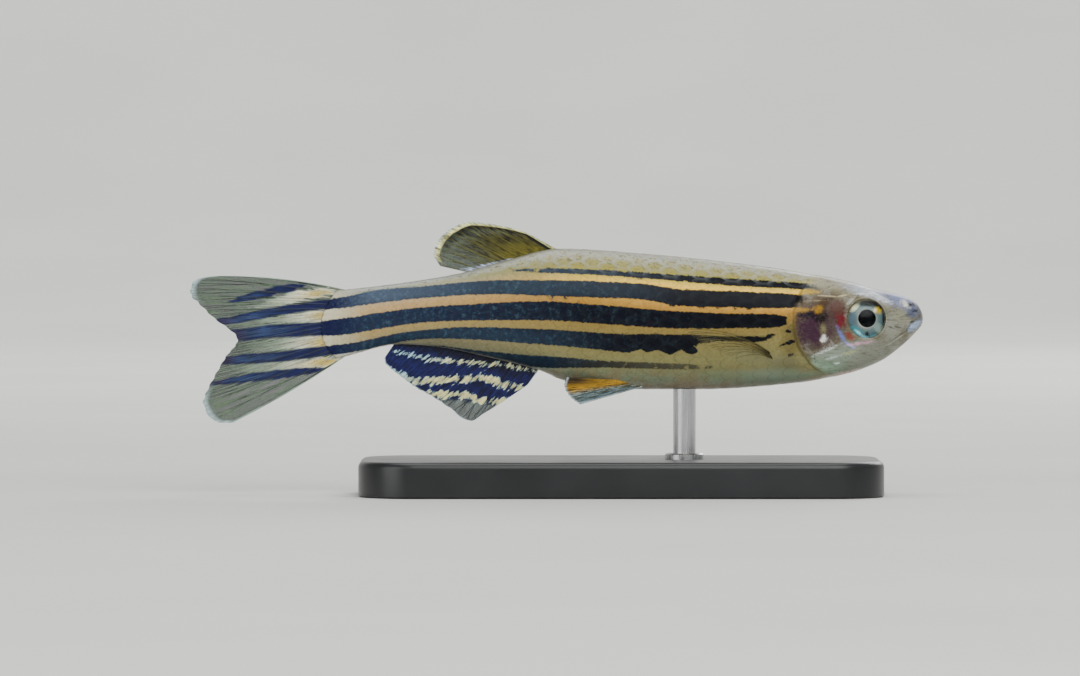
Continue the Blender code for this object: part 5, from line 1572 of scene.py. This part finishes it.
def build_fin(fin, look):
    """One fin as two pieces, its membrane and its rays."""
    film = fin_material(fin.name + " fin membrane", fin.name, look, False)
    bone = fin_material(fin.name + " fin rays", fin.name, look, True)
    settle(membrane(fin, look, film), (fin.node,))
    settle(fin_rays(fin, look, thread_tree(bone)))


class DANIO_OT_eyes(bpy.types.Operator):
    """Build both eyes: iris, lens and clear cornea"""

    bl_idname = "danio.eyes"
    bl_label = "Eyes"

    def execute(self, context):
        look = context.scene.danio_eyes
        materials = [iris_material(look), lens_material()]
        clear = cornea_material()
        for sign, word in ((-1, "right"), (1, "left")):
            settle(eyeball("eyeball_" + word, sign, materials), ("eye_" + word,))
            settle(cornea("cornea_" + word, sign, clear, look.cornea / MM))
        return {"FINISHED"}


class DANIO_OT_stand(bpy.types.Operator):
    """Build the display stand: acrylic base and steel rod up to the belly"""

    bl_idname = "danio.stand"
    bl_label = "Display stand"

    def execute(self, context):
        base, rod = np.array(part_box("stand_base")) / MM, np.array(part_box("stand_rod")) / MM
        self.base(*base, context.scene.danio_stand)
        self.rod(*rod, base[1, 2])
        return {"FINISHED"}

    def base(self, low, high, look):
        """A slab with round corners, a small chamfer below and a rounded edge above."""
        ease = look.edge / MM
        middle = (low + high) / 2
        straight = (high - low) / 2 - BASE_CORNER
        levels = [(BASE_CHAMFER, low[2]), (0.0, low[2] + BASE_CHAMFER)]
        levels += [(ease * (1 - math.cos(a)), high[2] - ease * (1 - math.sin(a)))
                   for a in np.linspace(0, math.pi / 2, 6)]
        rings = []
        for inset, z in levels:
            ring = []
            for quarter in np.arange(4) * math.pi / 2:
                x = middle[0] + math.copysign(straight[0], math.cos(quarter + 0.5))
                y = middle[1] + math.copysign(straight[1], math.sin(quarter + 0.5))
                reach = BASE_CORNER - inset
                for a in np.linspace(quarter, quarter + math.pi / 2, 15):
                    ring.append((x + reach * math.cos(a), y + reach * math.sin(a), z))
            rings.append(ring)
        points = np.array(rings)
        count = points.shape[1]
        faces = grid_faces(len(rings), count, joined=True)
        faces.append(list(range(count)))
        faces.append(list(range((len(rings) - 1) * count, len(rings) * count)))
        obj = solid("display_base", points * MM, faces, [acrylic_material(look)])
        obj.data.set_sharp_from_angle(angle=STAND_CREASE)
        settle(obj, ("stand_base",))

    def rod(self, low, high, foot):
        """A round rod with a small washer on the base, its top sunk a little into the belly's scales."""
        x, y = (low[:2] + high[:2]) / 2
        radius = (high[0] - low[0]) / 2
        top = AXIS_HEIGHT + float(curve(BELLY, LENGTH / 2 - x)) + ROD_SINK
        washer = radius + WASHER_REACH
        profile = [
            (0.0, top), (radius * 0.92, top), (radius, top - 0.06), (radius, foot + WASHER_RISE),
            (washer - 0.08, foot + WASHER_RISE), (washer, foot + WASHER_RISE - 0.08), (washer, foot - 0.02),
            (0.0, foot - 0.02),
        ]
        points, faces = turned_points(profile, 48, Matrix.Translation((x * MM, y * MM, 0.0)))
        obj = solid("display_rod", points, faces, [steel_material()])
        obj.data.set_sharp_from_angle(angle=STAND_CREASE)
        settle(obj, ("stand_rod",))


class DANIO_OT_stage(bpy.types.Operator):
    """Set the pale floor that turns up into a backdrop all round, soft lights and the camera"""

    bl_idname = "danio.stage"
    bl_label = "Stage"

    def execute(self, context):
        look = context.scene.danio_stage
        self.floor(look)
        middle = Vector((
            LENGTH / 2 - (SNOUT_PIXEL_X - PHOTO_WIDE / 2) * PIXEL_MM, 0.0,
            AXIS_HEIGHT + (AXIS_PIXEL_Y - PHOTO_TALL / 2) * PIXEL_MM,
        )) * MM
        wall = Vector((0.0, 0.9, 0.25))
        for name, spot, aim, size, power in (
            ("Key light", (0.10, -0.30, 0.26), middle, 0.36, look.key_power),
            ("Fill light", (-0.30, -0.26, 0.12), middle, 0.30, look.key_power * 0.40),
            ("Top light", (0.0, 0.05, 0.40), middle, 0.34, look.key_power * 0.65),
            ("Back light", (0.16, 0.34, 0.22), middle, 0.24, look.key_power * 0.5),
            ("Wall light", (0.0, 0.30, 0.55), wall, 0.40, look.key_power * 3.0),
        ):
            data = bpy.data.lights.new(name, "AREA")
            data.shape = "DISK"
            data.size = size
            data.energy = power
            lamp = bpy.data.objects.new(name, data)
            lamp.location = spot
            lamp.rotation_euler = (Vector(spot) - aim).to_track_quat("Z", "Y").to_euler()
            context.scene.collection.objects.link(lamp)
        world = bpy.data.worlds.new("Soft room light")
        world.use_nodes = True
        background = world.node_tree.nodes["Background"]
        background.inputs["Color"].default_value = paint("#eef1f4")
        background.inputs["Strength"].default_value = 0.32
        context.scene.world = world
        self.camera(context, middle, look)
        return {"FINISHED"}

    def floor(self, look):
        """One round sheet, flat in the middle and turned up all round into a backdrop."""
        flat, bend, steps = 0.45, 0.45, 96
        profile = [(0.10, 0.0), (0.25, 0.0), (flat, 0.0)]
        profile += [(flat + bend * math.sin(a), bend * (1 - math.cos(a)))
                    for a in np.linspace(0.1, math.pi / 2, 14)]
        profile.append((flat + bend, 0.95))
        points = [(0.0, 0.0, 0.0)]
        for r, z in profile:
            for k in range(steps):
                a = 2 * math.pi * k / steps
                points.append((r * math.cos(a), r * math.sin(a), z))
        faces = grid_faces(len(profile), steps, joined=True, first=1)
        faces += [(0, 1 + (k + 1) % steps, 1 + k) for k in range(steps)]
        mesh = bpy.data.meshes.new("studio_floor")
        mesh.from_pydata(points, [], [face[::-1] for face in faces])
        mesh.materials.append(card_material(look))
        mesh.shade_smooth()
        obj = bpy.data.objects.new("studio_floor", mesh)
        bpy.context.scene.collection.objects.link(obj)

    def camera(self, context, middle, look):
        """The photograph's framing: nearly level, square to the fish's right flank, through a long lens."""
        data = bpy.data.cameras.new("Camera")
        data.sensor_width = 36.0
        data.lens = data.sensor_width * look.distance / (PHOTO_WIDE * PIXEL_MM * MM)
        data.clip_start = 0.01
        data.clip_end = 10.0
        way = Vector((0.0, -math.cos(look.elevation), math.sin(look.elevation)))
        camera = bpy.data.objects.new("Camera", data)
        camera.location = middle + way * look.distance
        camera.rotation_euler = way.to_track_quat("Z", "Y").to_euler()
        context.scene.collection.objects.link(camera)
        context.scene.camera = camera


class DANIO_PT_panel(bpy.types.Panel):
    """Lists the steps that build the model's looks"""

    bl_idname = "DANIO_PT_panel"
    bl_label = "Zebra Danio"
    bl_space_type = "VIEW_3D"
    bl_region_type = "UI"
    bl_category = "Danio"

    def draw(self, context):
        for step in STEPS:
            self.layout.operator("danio." + step)


SETTINGS = {
    "danio_skin": DanioSkinSettings, "danio_fins": DanioFinSettings, "danio_eyes": DanioEyeSettings,
    "danio_stand": DanioStandSettings, "danio_stage": DanioStageSettings,
}
OPERATORS = (
    DANIO_OT_skin, DANIO_OT_feelers, DANIO_OT_scales, DANIO_OT_single_fins, DANIO_OT_paired_fins,
    DANIO_OT_eyes, DANIO_OT_stand, DANIO_OT_stage,
)
STEPS = ("skin", "feelers", "scales", "single_fins", "paired_fins", "eyes", "stand", "stage")


def register():
    for group in SETTINGS.values():
        bpy.utils.register_class(group)
    for name, group in SETTINGS.items():
        setattr(bpy.types.Scene, name, bpy.props.PointerProperty(type=group))
    for operator in OPERATORS:
        bpy.utils.register_class(operator)
    bpy.utils.register_class(DANIO_PT_panel)


def unregister():
    bpy.utils.unregister_class(DANIO_PT_panel)
    for operator in reversed(OPERATORS):
        bpy.utils.unregister_class(operator)
    for name, group in SETTINGS.items():
        delattr(bpy.types.Scene, name)
        bpy.utils.unregister_class(group)


def main():
    register()
    for step in STEPS:
        getattr(bpy.ops.danio, step)()


if __name__ == "__main__":
    main()
